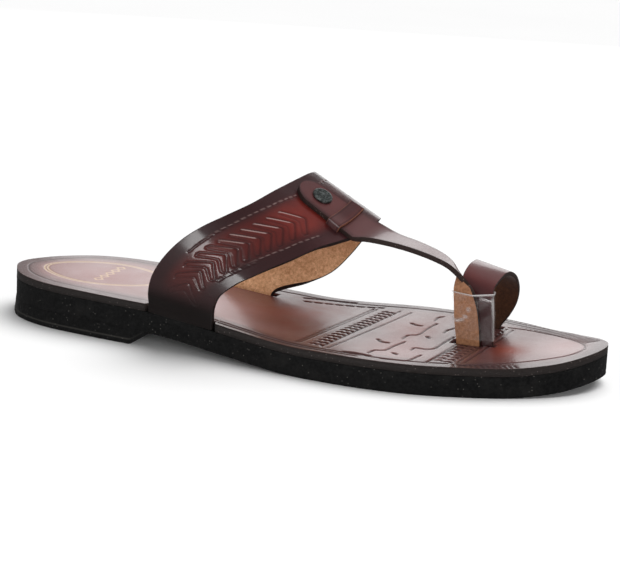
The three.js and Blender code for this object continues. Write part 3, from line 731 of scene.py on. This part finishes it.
def soleBlock(name, reach, lowZ, highZ, flare, rounding):
    bm = bmesh.new()
    full = reach > 0.99 * last["length"]
    bmesh.ops.create_grid(bm, x_segments=rubber["columns"], y_segments=rubber["rows"], size=0.5)
    for vert in bm.verts:
        k, v = vert.co.y + 0.5, vert.co.x + 0.5
        share = easedShare(k) if full else easedShare(k * 0.94) / easedShare(0.94)
        x = last["heelBack"] + share * reach
        lateral, medial = rimRow(x)
        vert.co = Vector((x, lateral + (medial - lateral) * v, lowZ(x)))
    bmesh.ops.remove_doubles(bm, verts=bm.verts[:], dist=0.02 * mm)
    made = bmesh.ops.extrude_face_region(bm, geom=bm.faces[:], use_keep_orig=True)
    fresh = set(part for part in made["geom"] if isinstance(part, bmesh.types.BMVert))
    for vert in fresh:
        vert.co.z = highZ(vert.co.x)
    walls = [edge for edge in bm.edges if len({vert in fresh for vert in edge.verts}) == 2]
    bmesh.ops.subdivide_edges(bm, edges=walls, cuts=7, use_grid_fill=True)
    bmesh.ops.recalc_face_normals(bm, faces=bm.faces[:])
    bm.normal_update()
    for vert in bm.verts:
        side = any(abs(face.normal.z) < 0.5 for face in vert.link_faces)
        if side:
            low, high = lowZ(vert.co.x), highZ(vert.co.x)
            height = (vert.co.z - low) / max(high - low, 1e-6)
            out = Vector((vert.normal.x, vert.normal.y, 0))
            if out.length > 1e-6:
                out.normalize()
                rough = noise.noise(Vector((vert.co.x * 420, vert.co.y * 420, vert.co.z * 900)))
                frontFace = not full and vert.co.x > last["heelBack"] + reach - 0.5 * mm
                spread = 0 if frontFace else flare * (1 - height)
                vert.co += out * (rough * rubber["jitter"] + spread)
    sharp = [edge for edge in bm.edges if len(edge.link_faces) == 2 and edge.calc_face_angle(0) > 1.0]
    bmesh.ops.bevel(bm, geom=sharp, offset=rounding, segments=2, profile=0.5, affect="EDGES", material=-1,
                    clamp_overlap=True)
    for face in bm.faces:
        face.smooth = True
    return finishMesh(name, bm)


def makeOutsole():
    def lowZ(x):
        return outsoleTopZ(x) - last["outsoleWall"]

    return soleBlock("rubberOutsole", last["length"], lowZ, outsoleTopZ, 0, 0.5 * mm)


def makeHeel():
    def lowZ(x):
        return 0.0

    def highZ(x):
        return outsoleTopZ(x) - last["outsoleWall"] - last["layerGap"] * 0.3

    return soleBlock("rubberHeel", rubber["heelBreast"], lowZ, highZ, rubber["flare"] * 0.6, 0.6 * mm)


# keeper
keeper = {"width": 7 * mm, "wall": 1.3 * mm, "gap": 0.35 * mm, "share": 0.75, "rows": 90, "columns": 16}


def keeperPath():
    half = tailRadius + keeper["gap"] + keeper["wall"]
    top = strap["wall"] + keeper["gap"] + keeper["wall"]
    corner = keeper["wall"] + keeper["gap"]
    path = [(-half, -band["wall"]), (-half, 0)]
    for k in range(9):
        a = math.pi - k / 8 * math.pi / 2
        path.append((-half + corner + corner * math.cos(a), top - corner + corner * math.sin(a)))
    path += [(-half * 0.4, top), (half * 0.4, top)]
    for k in range(9):
        a = math.pi / 2 - k / 8 * math.pi / 2
        path.append((half - corner + corner * math.cos(a), top - corner + corner * math.sin(a)))
    path += [(half, 0), (half, -band["wall"])]
    return path


def makeKeeper():
    path = keeperPath()
    runs = np.concatenate([[0], np.cumsum([math.dist(a, b) for a, b in zip(path, path[1:])])])

    def keeperRow(u):
        across = float(np.interp(u * runs[-1], runs, [p[0] for p in path]))
        height = float(np.interp(u * runs[-1], runs, [p[1] for p in path]))
        halfShare = keeper["width"] / 2 / bandWidthAtStrap
        return lambda v: bandPoint(across, keeper["share"] + halfShare * (2 * v - 1), height)
    inside = bandPoint(0, keeper["share"], 0)
    piece = leatherSheet("keeperLoop", keeperRow, keeper["rows"], keeper["columns"], keeper["wall"], inside,
                         rounding=0.2 * mm)
    paint(piece, "burnish", 0.25 + 0.5 * softStep(0.5, 0.9, readLayer(piece, "across")))
    paint(piece, "shade", 0.25 * np.ones(len(piece.data.vertices)))
    paint(piece, "groove", pressed(np.stack([readLayer(piece, "across"), readLayer(piece, "along")], 1),
                                   [[(0.12, 0), (0.12, 1)], [(0.88, 0), (0.88, 1)]], 0.05))
    # painted sheen over one end of the keeper
    paint(piece, "hazeAndPaintedSheen", softStep(0.55, 0.75, 1 - readLayer(piece, "along")))
    return piece


def makeStrap():
    piece = leatherSheet("toeStrap", strapRow, strap["rows"], strap["columns"], strap["wall"],
                         (0.04, 0.0, 0.02))
    u, v = readLayer(piece, "along"), readLayer(piece, "across")
    edge = 1 - softStep(0.0, 0.16, np.minimum(v, 1 - v))
    red = 0.3 + 0.4 * softStep(0.05, 0.2, u) * (1 - softStep(0.27, 0.35, u))
    paint(piece, "burnish", red * (1 - edge * 0.8))
    paint(piece, "shade", edge * 0.5 + 0.5 * softStep(0.86, 0.95, u))
    paint(piece, "groove", np.zeros(len(u)))
    # painted sheen on the tab and along the free run, not at the post
    tabPaintedSheen = 0.35 * (1 - edge)
    paint(piece, "hazeAndPaintedSheen", np.maximum(tabPaintedSheen, softStep(0.27, 0.37, u)) * (1 - softStep(0.82, 0.9, u)))
    return piece


def makeLoop():
    piece = leatherSheet("toeLoop", loopRow, loop["rows"], loop["columns"], loop["wall"],
                         (0.083, 0.016, 0.028))
    u = readLayer(piece, "along")
    paint(piece, "burnish", 0.3 + 0.4 * softStep(0.2, 0.35, u) * (1 - softStep(0.45, 0.6, u)))
    paint(piece, "shade", 0.35 * (1 - softStep(0.1, 0.36, u)))
    paint(piece, "groove", np.zeros(len(u)))
    # painted sheen over the top of the loop
    paint(piece, "hazeAndPaintedSheen", softStep(0.3, 0.42, u) * (1 - softStep(0.62, 0.75, u)))
    return piece


# rivet
rivet = {"share": 0.39, "radius": 4.7 * mm, "height": 1.5 * mm, "lift": 0.1 * mm, "beads": 14}


def makeRivet():
    r, h = rivet["radius"], rivet["height"]
    profile = [(0, 0), (r, 0), (r, 0.45 * h), (0.95 * r, 0.78 * h), (0.86 * r, 0.88 * h),
               (0.78 * r, 0.8 * h), (0.72 * r, 0.62 * h), (0.62 * r, 0.62 * h), (0.5 * r, 0.72 * h),
               (0.34 * r, 0.74 * h),
               (0.28 * r, 0.86 * h), (0.16 * r, 0.98 * h), (0, h)]
    bm = bmesh.new()
    verts = [bm.verts.new((x, 0, z)) for x, z in profile]
    for a, b in zip(verts, verts[1:]):
        bm.edges.new((a, b))
    bmesh.ops.spin(bm, geom=bm.verts[:] + bm.edges[:], cent=(0, 0, 0), axis=(0, 0, 1),
                   angle=2 * math.pi, steps=64, use_merge=True)
    bmesh.ops.remove_doubles(bm, verts=bm.verts[:], dist=0.005 * mm)
    for k in range(rivet["beads"]):
        a = k / rivet["beads"] * 2 * math.pi
        place = Matrix.Translation((0.56 * r * math.cos(a), 0.56 * r * math.sin(a), 0.68 * h))
        bmesh.ops.create_uvsphere(bm, u_segments=10, v_segments=6, radius=0.075 * r,
                                  matrix=place @ Matrix.Diagonal((1, 1, 0.7, 1)))
    bmesh.ops.recalc_face_normals(bm, faces=bm.faces[:])
    point, normal = bandSpot(0, rivet["share"])
    turn = normal.to_track_quat("Z", "Y").to_matrix().to_4x4()
    bm.transform(Matrix.Translation(point + normal * (strap["wall"] + rivet["lift"])) @ turn)
    for face in bm.faces:
        face.smooth = True
    piece = finishMesh("rivetHead", bm)
    bm = bmesh.new()
    bmesh.ops.create_cone(bm, cap_ends=True, segments=40, radius1=3 * mm, radius2=2.7 * mm, depth=0.8 * mm)
    sharp = [e for e in bm.edges if e.calc_face_angle(0) > 0.8]
    bmesh.ops.bevel(bm, geom=sharp, offset=0.2 * mm, segments=2, profile=0.5, affect="EDGES", material=-1)
    bm.transform(Matrix.Translation(point - normal * (band["wall"] + 0.5 * mm)) @ turn)
    for face in bm.faces:
        face.smooth = True
    washer = finishMesh("rivetWasher", bm)
    return piece, washer


# clear film sleeve, from its CAD form
def makeSleeve():
    bm = bmesh.new()
    bm.from_mesh(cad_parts["post_sleeve"].data)
    bmesh.ops.remove_doubles(bm, verts=bm.verts[:], dist=0.01 * mm)
    bmesh.ops.subdivide_edges(bm, edges=bm.edges[:], cuts=5, use_grid_fill=True, smooth=0.0)
    bm.normal_update()
    for vert in bm.verts:
        ripple = noise.noise(Vector((vert.co.x * 90, vert.co.y * 60, vert.co.z * 140)))
        vert.co += vert.normal * ripple * 0.18 * mm
    for face in bm.faces:
        face.smooth = True
    piece = finishMesh("filmSleeve", bm)
    # painted highlight along the front corner of the lateral side, and the upper rim there
    co = places(piece)
    level = np.clip(((co[:, 2] - co[:, 2].min()) / (1.5 * mm)).astype(int), 0, 99)
    front = np.array([co[level == k, 0].max() if (level == k).any() else 0 for k in range(level.max() + 1)])
    toFront = front[level] - co[:, 0]
    toSide = co[:, 1] - co[:, 1].min()
    paintedEdgeHighlight = (1 - softStep(0.5 * mm, 0.9 * mm, toFront)) * (1 - softStep(4 * mm, 7 * mm, toSide))
    # painted highlight on the upper rim, and one curved pale streak on the lateral side
    height = co[:, 2] - co[:, 2].min()
    rim = 0.55 * softStep(height.max() - 0.7 * mm, height.max() - 0.3 * mm, height)
    away = np.hypot(co[:, 0] - (co[:, 0].min() + 3 * mm), height - 13 * mm)
    streak = 0.3 * (1 - softStep(0.3 * mm, 0.8 * mm, np.abs(away - 5 * mm))) * (height < 15 * mm)
    paint(piece, "paintedEdgeHighlight", np.maximum(paintedEdgeHighlight, np.maximum(rim, streak)))
    return piece


# materials
def addNode(tree, kind, values=None, **settings):
    node = tree.nodes.new(kind)
    for key, value in settings.items():
        setattr(node, key, value)
    for key, value in (values or {}).items():
        if isinstance(value, bpy.types.NodeSocket):
            tree.links.new(value, node.inputs[key])
        else:
            node.inputs[key].default_value = value
    return node


def blendColor(tree, factor, first, second, mode="MIX"):
    node = addNode(tree, "ShaderNodeMix", data_type="RGBA", blend_type=mode)
    for socket, value in ((node.inputs[0], factor), (node.inputs[6], first), (node.inputs[7], second)):
        if isinstance(value, bpy.types.NodeSocket):
            tree.links.new(value, socket)
        else:
            socket.default_value = value if isinstance(value, float) else (*value, 1.0)
    return node.outputs[2]


def math2(tree, operation, a, b, clamp=False):
    return addNode(tree, "ShaderNodeMath", {0: a, 1: b}, operation=operation, use_clamp=clamp).outputs[0]


def ramp(tree, value, low, high, outLow=0.0, outHigh=1.0):
    return addNode(tree, "ShaderNodeMapRange", {"Value": value, "From Min": low, "From Max": high,
                                                "To Min": outLow, "To Max": outHigh}).outputs["Result"]


def newGroup(name, inputs, outputs):
    tree = bpy.data.node_groups.new(name, "ShaderNodeTree")
    for label, kind, value in inputs:
        socket = tree.interface.new_socket(label, in_out="INPUT", socket_type=kind)
        if value is not None:
            socket.default_value = value
    for label, kind in outputs:
        tree.interface.new_socket(label, in_out="OUTPUT", socket_type=kind)
    return tree, tree.nodes.new("NodeGroupInput"), tree.nodes.new("NodeGroupOutput")


# pores and fine creases of leather: height, and a slow change of tone
def grainGroup():
    tree, put, out = newGroup("leatherGrain",
                              [("Vector", "NodeSocketVector", None), ("Scale", "NodeSocketFloat", 900.0)],
                              [("Height", "NodeSocketFloat"), ("Tone", "NodeSocketFloat")])
    cells = addNode(tree, "ShaderNodeTexVoronoi", {"Vector": put.outputs[0], "Scale": put.outputs[1]},
                    feature="DISTANCE_TO_EDGE")
    fine = addNode(tree, "ShaderNodeTexNoise",
                   {"Vector": put.outputs[0], "Scale": put.outputs[1], "Detail": 4.0})
    slow = addNode(tree, "ShaderNodeTexNoise", {"Vector": put.outputs[0], "Scale": 60.0, "Detail": 5.0,
                                               "Roughness": 0.6})
    pores = ramp(tree, cells.outputs["Distance"], 0.0, 0.12)
    halfFine = math2(tree, "MULTIPLY", fine.outputs[0], 0.5)
    height = math2(tree, "ADD", math2(tree, "MULTIPLY", pores, 0.5), halfFine)
    tree.links.new(height, out.inputs[0])
    tree.links.new(ramp(tree, slow.outputs[0], 0.32, 0.68), out.inputs[1])
    return tree


# small light specks, as of dust and loose fibres
def speckGroup():
    tree, put, out = newGroup("dustSpecks",
                              [("Vector", "NodeSocketVector", None), ("Scale", "NodeSocketFloat", 500.0),
                               ("Amount", "NodeSocketFloat", 0.2)],
                              [("Mask", "NodeSocketFloat")])
    dots = addNode(tree, "ShaderNodeTexVoronoi", {"Vector": put.outputs[0], "Scale": put.outputs[1]},
                   feature="F1")
    where = addNode(tree, "ShaderNodeTexNoise", {"Vector": put.outputs[0], "Scale": 190.0, "Detail": 2.0})
    near = ramp(tree, dots.outputs["Distance"], 0.16, 0.06)
    some = ramp(tree, math2(tree, "ADD", where.outputs[0], put.outputs[2]), 0.72, 0.8)
    tree.links.new(math2(tree, "MULTIPLY", near, some, True), out.inputs[0])
    return tree


leatherGrain, dustSpecks = grainGroup(), speckGroup()


def startMaterial(name):
    material = bpy.data.materials.new(name)
    material.use_nodes = True
    tree = material.node_tree
    shader = tree.nodes["Principled BSDF"]
    spot = addNode(tree, "ShaderNodeTexCoord").outputs["Object"]
    return material, tree, shader, spot


def useGroup(tree, group, values):
    node = addNode(tree, "ShaderNodeGroup", node_tree=group)
    for key, value in values.items():
        if isinstance(value, bpy.types.NodeSocket):
            tree.links.new(value, node.inputs[key])
        else:
            node.inputs[key].default_value = value
    return node


def readPaint(tree, name):
    return addNode(tree, "ShaderNodeAttribute", attribute_name=name).outputs["Fac"]


def link(tree, value, shader, socket):
    tree.links.new(value, shader.inputs[socket])


def bump(tree, height, shader, strength, distance):
    node = addNode(tree, "ShaderNodeBump", {"Height": height, "Strength": strength, "Distance": distance})
    link(tree, node.outputs[0], shader, "Normal")


# burnished leather: paint layers burnish, shade, groove and the painted sheen layer come from the piece
def burnishedLeather(name, look):
    material, tree, shader, spot = startMaterial(name)
    grain = useGroup(tree, leatherGrain, {"Vector": spot, "Scale": look["grain"]})
    red = readPaint(tree, "burnish")
    mottled = math2(tree, "MULTIPLY", red, ramp(tree, grain.outputs["Tone"], 0.0, 1.0, 0.6, 1.15), True)
    color = blendColor(tree, mottled, look["dark"], look["red"])
    # pale painted sheen, standing in for the lamps' reflection
    paintedSheenMask = math2(tree, "MULTIPLY", readPaint(tree, "hazeAndPaintedSheen"), look["paintedSheenAmount"], True)
    color = blendColor(tree, paintedSheenMask, color, look["paintedSheenColor"])
    shadeMask = math2(tree, "MULTIPLY", readPaint(tree, "shade"), look["shadeAmount"], True)
    color = blendColor(tree, shadeMask, color, look["shadeColor"])
    grooveMask = math2(tree, "MULTIPLY", readPaint(tree, "groove"), look["grooveAmount"], True)
    color = blendColor(tree, grooveMask, color, look["grooveColor"])
    # pale painted highlight lines along the band's ridges, where a piece carries them
    if "wearAndPaintedHighlight" in look:
        wearAndPaintedHighlightMask = math2(tree, "MULTIPLY", readPaint(tree, "wearAndPaintedHighlight"), 0.9, True)
        color = blendColor(tree, wearAndPaintedHighlightMask, color, look["wearAndPaintedHighlight"])
    if "gilt" in look:
        giltMask = math2(tree, "MULTIPLY", readPaint(tree, "gilt"), 0.85, True)
        color = blendColor(tree, giltMask, color, look["gilt"])
    specks = useGroup(tree, dustSpecks, {"Vector": spot, "Scale": 420.0, "Amount": look["specks"]})
    color = blendColor(tree, math2(tree, "MULTIPLY", specks.outputs[0], 0.35), color, (0.5, 0.38, 0.36))
    link(tree, color, shader, "Base Color")
    rough = ramp(tree, grain.outputs["Tone"], 0.0, 1.0, look["rough"] - 0.05, look["rough"] + 0.07)
    link(tree, rough, shader, "Roughness")
    bump(tree, grain.outputs["Height"], shader, look["bump"], 0.12 * mm)
    if "dullRed" in look:
        dull = math2(tree, "MAXIMUM", red, readPaint(tree, "groove"))
        link(tree, ramp(tree, dull, 0.1, 0.8, look["coat"], look["dullRed"]), shader, "Coat Weight")
    elif "dullFoot" in look:
        link(tree, ramp(tree, readPaint(tree, "shade"), 0.1, 0.8, look["coat"], look["dullFoot"]), shader,
             "Coat Weight")
    else:
        shader.inputs["Coat Weight"].default_value = look["coat"]
    shader.inputs["Coat Roughness"].default_value = look["coatRough"]
    shader.inputs["Specular IOR Level"].default_value = look["specular"]
    return material


burgundy = {
    "grain": 1500.0, "dark": (0.030, 0.0085, 0.0095), "red": (0.145, 0.016, 0.011),
    "paintedSheenColor": (0.10, 0.035, 0.038), "paintedSheenAmount": 0.35,
    "shadeColor": (0.004, 0.002, 0.0015), "shadeAmount": 0.92,
    "grooveColor": (0.020, 0.004, 0.0045), "grooveAmount": 0.75, "specks": 0.0, "rough": 0.36, "bump": 0.25,
    "coat": 0.6, "coatRough": 0.12, "specular": 0.3,
}
mauve = {**burgundy, "dark": (0.050, 0.017, 0.019), "red": (0.105, 0.020, 0.018),
         "paintedSheenColor": (0.17, 0.085, 0.085),
         "paintedSheenAmount": 0.4, "shadeAmount": 0.7}
stamped = {**burgundy, "grain": 1100.0, "dark": (0.105, 0.040, 0.036), "red": (0.22, 0.030, 0.010),
           "paintedSheenColor": (0.40, 0.215, 0.21), "paintedSheenAmount": 0.68,
           "shadeColor": (0.042, 0.022, 0.023), "shadeAmount": 0.85,
           "grooveColor": (0.010, 0.0055, 0.006), "grooveAmount": 0.92,
           "rough": 0.36, "coat": 0.5, "dullRed": 0.08,
           "coatRough": 0.17, "gilt": (0.78, 0.58, 0.33), "bump": 0.3, "specks": 0.04}


# raw cut edge, fibrous and stained
def cutEdge(name, color, light):
    material, tree, shader, spot = startMaterial(name)
    fibre = addNode(tree, "ShaderNodeTexNoise",
                    {"Vector": spot, "Scale": 1600.0, "Detail": 6.0, "Roughness": 0.7})
    specks = useGroup(tree, dustSpecks, {"Vector": spot, "Scale": 700.0, "Amount": 0.3})
    tone = blendColor(tree, ramp(tree, fibre.outputs[0], 0.4, 0.75), color, tuple(c * 2.2 for c in color))
    tone = blendColor(tree, math2(tree, "MULTIPLY", specks.outputs[0], 0.7), tone, light)
    link(tree, tone, shader, "Base Color")
    shader.inputs["Roughness"].default_value = 0.62
    bump(tree, fibre.outputs[0], shader, 0.6, 0.3 * mm)
    return material


# napped flesh side
def suede(name, color, deep, speck):
    material, tree, shader, spot = startMaterial(name)
    nap = addNode(tree, "ShaderNodeTexNoise",
                  {"Vector": spot, "Scale": 750.0, "Detail": 8.0, "Roughness": 0.75})
    slow = addNode(tree, "ShaderNodeTexNoise", {"Vector": spot, "Scale": 130.0, "Detail": 3.0})
    tone = blendColor(tree, ramp(tree, nap.outputs[0], 0.36, 0.66), deep, color)
    tone = blendColor(tree, ramp(tree, slow.outputs[0], 0.45, 0.75, 0.0, 0.35), tone, deep)
    tone = blendColor(tree, math2(tree, "MULTIPLY", readPaint(tree, "burnish"), speck, True), tone,
                      tuple(c * 0.55 for c in color))
    # painted shade from the piece's inside shade layer
    tone = blendColor(tree, math2(tree, "MULTIPLY", readPaint(tree, "paintedInsideShade"), 0.6, True), tone, deep)
    link(tree, tone, shader, "Base Color")
    shader.inputs["Roughness"].default_value = 0.95
    shader.inputs["Sheen Weight"].default_value = 0.25
    bump(tree, nap.outputs[0], shader, 0.9, 0.35 * mm)
    return material


def blackRubber(name, lineHeight):
    material, tree, shader, spot = startMaterial(name)
    rough = addNode(tree, "ShaderNodeTexNoise",
                    {"Vector": spot, "Scale": 700.0, "Detail": 8.0, "Roughness": 0.7})
    patches = addNode(tree, "ShaderNodeTexNoise", {"Vector": spot, "Scale": 120.0, "Detail": 5.0})
    specks = useGroup(tree, dustSpecks, {"Vector": spot, "Scale": 520.0, "Amount": 0.3})
    tone = blendColor(tree, ramp(tree, rough.outputs[0], 0.42, 0.7),
                      (0.0025, 0.0025, 0.0026), (0.010, 0.010, 0.0102))
    patchMask = ramp(tree, patches.outputs[0], 0.5, 0.72, 0.0, 0.5)
    tone = blendColor(tree, patchMask, tone, (0.019, 0.018, 0.017))
    tone = blendColor(tree, math2(tree, "MULTIPLY", specks.outputs[0], 0.55), tone, (0.22, 0.21, 0.19))
    if lineHeight:
        height = addNode(tree, "ShaderNodeSeparateXYZ", {0: spot}).outputs[2]
        away = math2(tree, "ABSOLUTE", math2(tree, "SUBTRACT", height, lineHeight), 0.0)
        tone = blendColor(tree, ramp(tree, away, 0.0005, 0.0002, 0.0, 0.5), tone, (0.07, 0.066, 0.06))
    link(tree, tone, shader, "Base Color")
    link(tree, ramp(tree, patches.outputs[0], 0.3, 0.7, 0.5, 0.72), shader, "Roughness")
    shader.inputs["Specular IOR Level"].default_value = 0.2
    bump(tree, rough.outputs[0], shader, 0.7, 0.5 * mm)
    return material


def gunmetal():
    material, tree, shader, spot = startMaterial("gunmetal")
    # lighter worn patches of the metal
    wearAndPaintedHighlight = addNode(tree, "ShaderNodeTexNoise", {"Vector": spot, "Scale": 900.0, "Detail": 5.0})
    wearAndPaintedHighlightMask = ramp(tree, wearAndPaintedHighlight.outputs[0], 0.4, 0.65)
    tone = blendColor(tree, wearAndPaintedHighlightMask, (0.09, 0.10, 0.098), (0.30, 0.33, 0.32))
    link(tree, tone, shader, "Base Color")
    link(tree, ramp(tree, wearAndPaintedHighlight.outputs[0], 0.3, 0.7, 0.28, 0.5), shader, "Roughness")
    shader.inputs["Metallic"].default_value = 0.9
    bump(tree, wearAndPaintedHighlight.outputs[0], shader, 0.3, 0.1 * mm)
    return material


def clearFilm():
    material, tree, shader, spot = startMaterial("clearFilm")
    # noise for the film's own cloudiness
    hazeAndPaintedSheen = addNode(tree, "ShaderNodeTexNoise",
                   {"Vector": spot, "Scale": 110.0, "Detail": 4.0, "Distortion": 1.2})
    # painted highlight: the film turns white and opaque along the front corner, the upper rim and the
    # streak
    paintedEdgeHighlight = readPaint(tree, "paintedEdgeHighlight")
    veil = ramp(tree, hazeAndPaintedSheen.outputs[0], 0.42, 0.75, 0.01, 0.06)
    link(tree, math2(tree, "MAXIMUM", veil, math2(tree, "MULTIPLY", paintedEdgeHighlight, 0.95), True), shader, "Alpha")
    link(tree, ramp(tree, hazeAndPaintedSheen.outputs[0], 0.3, 0.7, 0.05, 0.14), shader, "Roughness")
    shader.inputs["Base Color"].default_value = (0.95, 0.93, 0.92, 1)
    shader.inputs["Specular IOR Level"].default_value = 0.9
    shader.inputs["Coat Weight"].default_value = 1.0
    shader.inputs["Coat Roughness"].default_value = 0.05
    bump(tree, hazeAndPaintedSheen.outputs[0], shader, 0.4, 0.6 * mm)
    return material


def paleFloor():
    material, tree, shader, spot = startMaterial("paleFloor")
    cloud = addNode(tree, "ShaderNodeTexNoise", {"Vector": spot, "Scale": 3.0})
    tone = blendColor(tree, cloud.outputs[0], (0.86, 0.86, 0.86), (0.9, 0.9, 0.9))
    link(tree, tone, shader, "Base Color")
    shader.inputs["Roughness"].default_value = 1.0
    shader.inputs["Specular IOR Level"].default_value = 0.0
    return material


def dress(piece, *materials):
    for material in materials:
        piece.data.materials.append(material)


blackEdge = cutEdge("blackCutEdge", (0.012, 0.0085, 0.008), (0.30, 0.24, 0.2))
brownEdge = cutEdge("brownCutEdge", (0.020, 0.010, 0.008), (0.38, 0.28, 0.22))
tanEdge = cutEdge("copperCutEdge", (0.13, 0.048, 0.024), (0.4, 0.22, 0.12))
boardEdge = cutEdge("boardEdge", (0.014, 0.010, 0.009), (0.30, 0.25, 0.24))
# the band's pale ridge colour is a painted highlight
bandLeather = burnishedLeather("bandLeather", {**burgundy, "wearAndPaintedHighlight": (0.46, 0.32, 0.30), "dullFoot": 0.04})
strapLeather = burnishedLeather("strapLeather", mauve)
footLeather = burnishedLeather("footbedLeather", stamped)
tanSuede = suede("tanSuede", (0.97, 0.60, 0.35), (0.50, 0.24, 0.11), 0.4)
brownSuede = suede("brownSuede", (0.56, 0.27, 0.14), (0.30, 0.13, 0.06), 0.3)
darkSuede = suede("darkSuede", (0.10, 0.038, 0.016), (0.045, 0.017, 0.008), 0.3)
print("materials ready")

# the pieces
bandPiece = makeBand()
dress(bandPiece, bandLeather, blackEdge, tanSuede)
strapPiece = makeStrap()
dress(strapPiece, strapLeather, brownEdge, brownSuede)
for piece in (bandPiece, strapPiece):
    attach(piece, "root")
    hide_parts("upper")
print("upper ready")

loopPiece = makeLoop()
dress(loopPiece, strapLeather, brownEdge, darkSuede)
keeperPiece = makeKeeper()
dress(keeperPiece, strapLeather, tanEdge, brownSuede)
insolePiece = makeInsole()
dress(insolePiece, footLeather, boardEdge)
print("straps and footbed ready")

outsolePiece = makeOutsole()
dress(outsolePiece, blackRubber("soleRubber", 0))
heelPiece = makeHeel()
dress(heelPiece, blackRubber("heelRubber", 2.2 * mm))
rivetPiece, washerPiece = makeRivet()
dress(rivetPiece, gunmetal())
dress(washerPiece, rivetPiece.data.materials[0])
sleevePiece = makeSleeve()
dress(sleevePiece, clearFilm())
for piece, node in ((loopPiece, "toe_loop"), (keeperPiece, "strap_keeper"), (insolePiece, "insole"),
                    (outsolePiece, "outsole"), (heelPiece, "heel"),
                    (rivetPiece, "rivet"), (washerPiece, "rivet"),
                    (sleevePiece, "post_sleeve")):
    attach(piece, "root")
    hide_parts(node)
print("sole and trim ready")


# camera, light and floor
view = {
    "target": (6.25 * mm, 0.98 * mm, 27.4 * mm), "azimuth": 19.7, "elevation": 13.8, "roll": 2.9,
    "distance": 899.9 * mm, "lens": 114.8, "sensor": 36.0,
}
studio = {
    "skyStrength": 3.05, "skyAngle": 60, "skyFrom": (0.25, 0.45, 1),
    "worldStrength": 0.24, "floorSize": 12, "floorSegments": 4,
}


def makeCamera():
    a, e, r = (math.radians(view[key]) for key in ("azimuth", "elevation", "roll"))
    back = Vector((math.sin(a) * math.cos(e), -math.cos(a) * math.cos(e), math.sin(e)))
    right = Vector((0, 0, 1)).cross(back).normalized()
    up = back.cross(right)
    turned = right * math.cos(r) + up * math.sin(r)
    upright = up * math.cos(r) - right * math.sin(r)
    lens = bpy.data.cameras.new("photoCamera")
    lens.lens, lens.sensor_width = view["lens"], view["sensor"]
    camera = bpy.data.objects.new("photoCamera", lens)
    bpy.context.scene.collection.objects.link(camera)
    place = Matrix((turned, upright, back)).transposed().to_4x4()
    place.translation = Vector(view["target"]) + back * view["distance"]
    camera.matrix_world = place
    bpy.context.scene.camera = camera


def softLight(name, place, aim, size, power, tall=None, gloss=True):
    lamp = bpy.data.lights.new(name, "AREA")
    lamp.energy, lamp.size = power, size
    if tall:
        lamp.shape, lamp.size_y = "RECTANGLE", tall
    light = bpy.data.objects.new(name, lamp)
    bpy.context.scene.collection.objects.link(light)
    way = Vector(aim) - Vector(place)
    light.visible_camera = False
    light.visible_glossy = gloss
    light.matrix_world = Matrix.Translation(place) @ way.to_track_quat("-Z", "Y").to_matrix().to_4x4()


makeCamera()
softLight("shoulderGloss", (-0.22, -1.08, 0.10), (-0.03, 0, 0.05), 0.17, 1.5, 0.26)
softLight("backGloss", (-0.28, 1.2, 0.33), (0, 0, 0.03), 0.85, 2.0, 0.5)
softLight("frontFill", (0.75, -0.95, 0.32), (0, 0, 0.03), 0.6, 4.0, 0.4, False)
sky = bpy.data.lights.new("skylight", "SUN")
sky.energy, sky.angle = studio["skyStrength"], math.radians(studio["skyAngle"])
skyLight = bpy.data.objects.new("skylight", sky)
bpy.context.scene.collection.objects.link(skyLight)
skyLight.visible_glossy = False
skyLight.matrix_world = Vector(studio["skyFrom"]).to_track_quat("Z", "Y").to_matrix().to_4x4()
world = bpy.data.worlds.new("whiteStudio")
bpy.context.scene.world = world
world.use_nodes = True
world.node_tree.nodes["Background"].inputs[0].default_value = (1, 1, 1, 1)
world.node_tree.nodes["Background"].inputs[1].default_value = studio["worldStrength"]
bpy.context.scene.view_settings.view_transform = "Standard"

floorMesh = bmesh.new()
bmesh.ops.create_grid(floorMesh, x_segments=studio["floorSegments"], y_segments=studio["floorSegments"],
                      size=studio["floorSize"])
floorPiece = finishMesh("floor", floorMesh)
dress(floorPiece, paleFloor())
floorPiece.visible_glossy = False
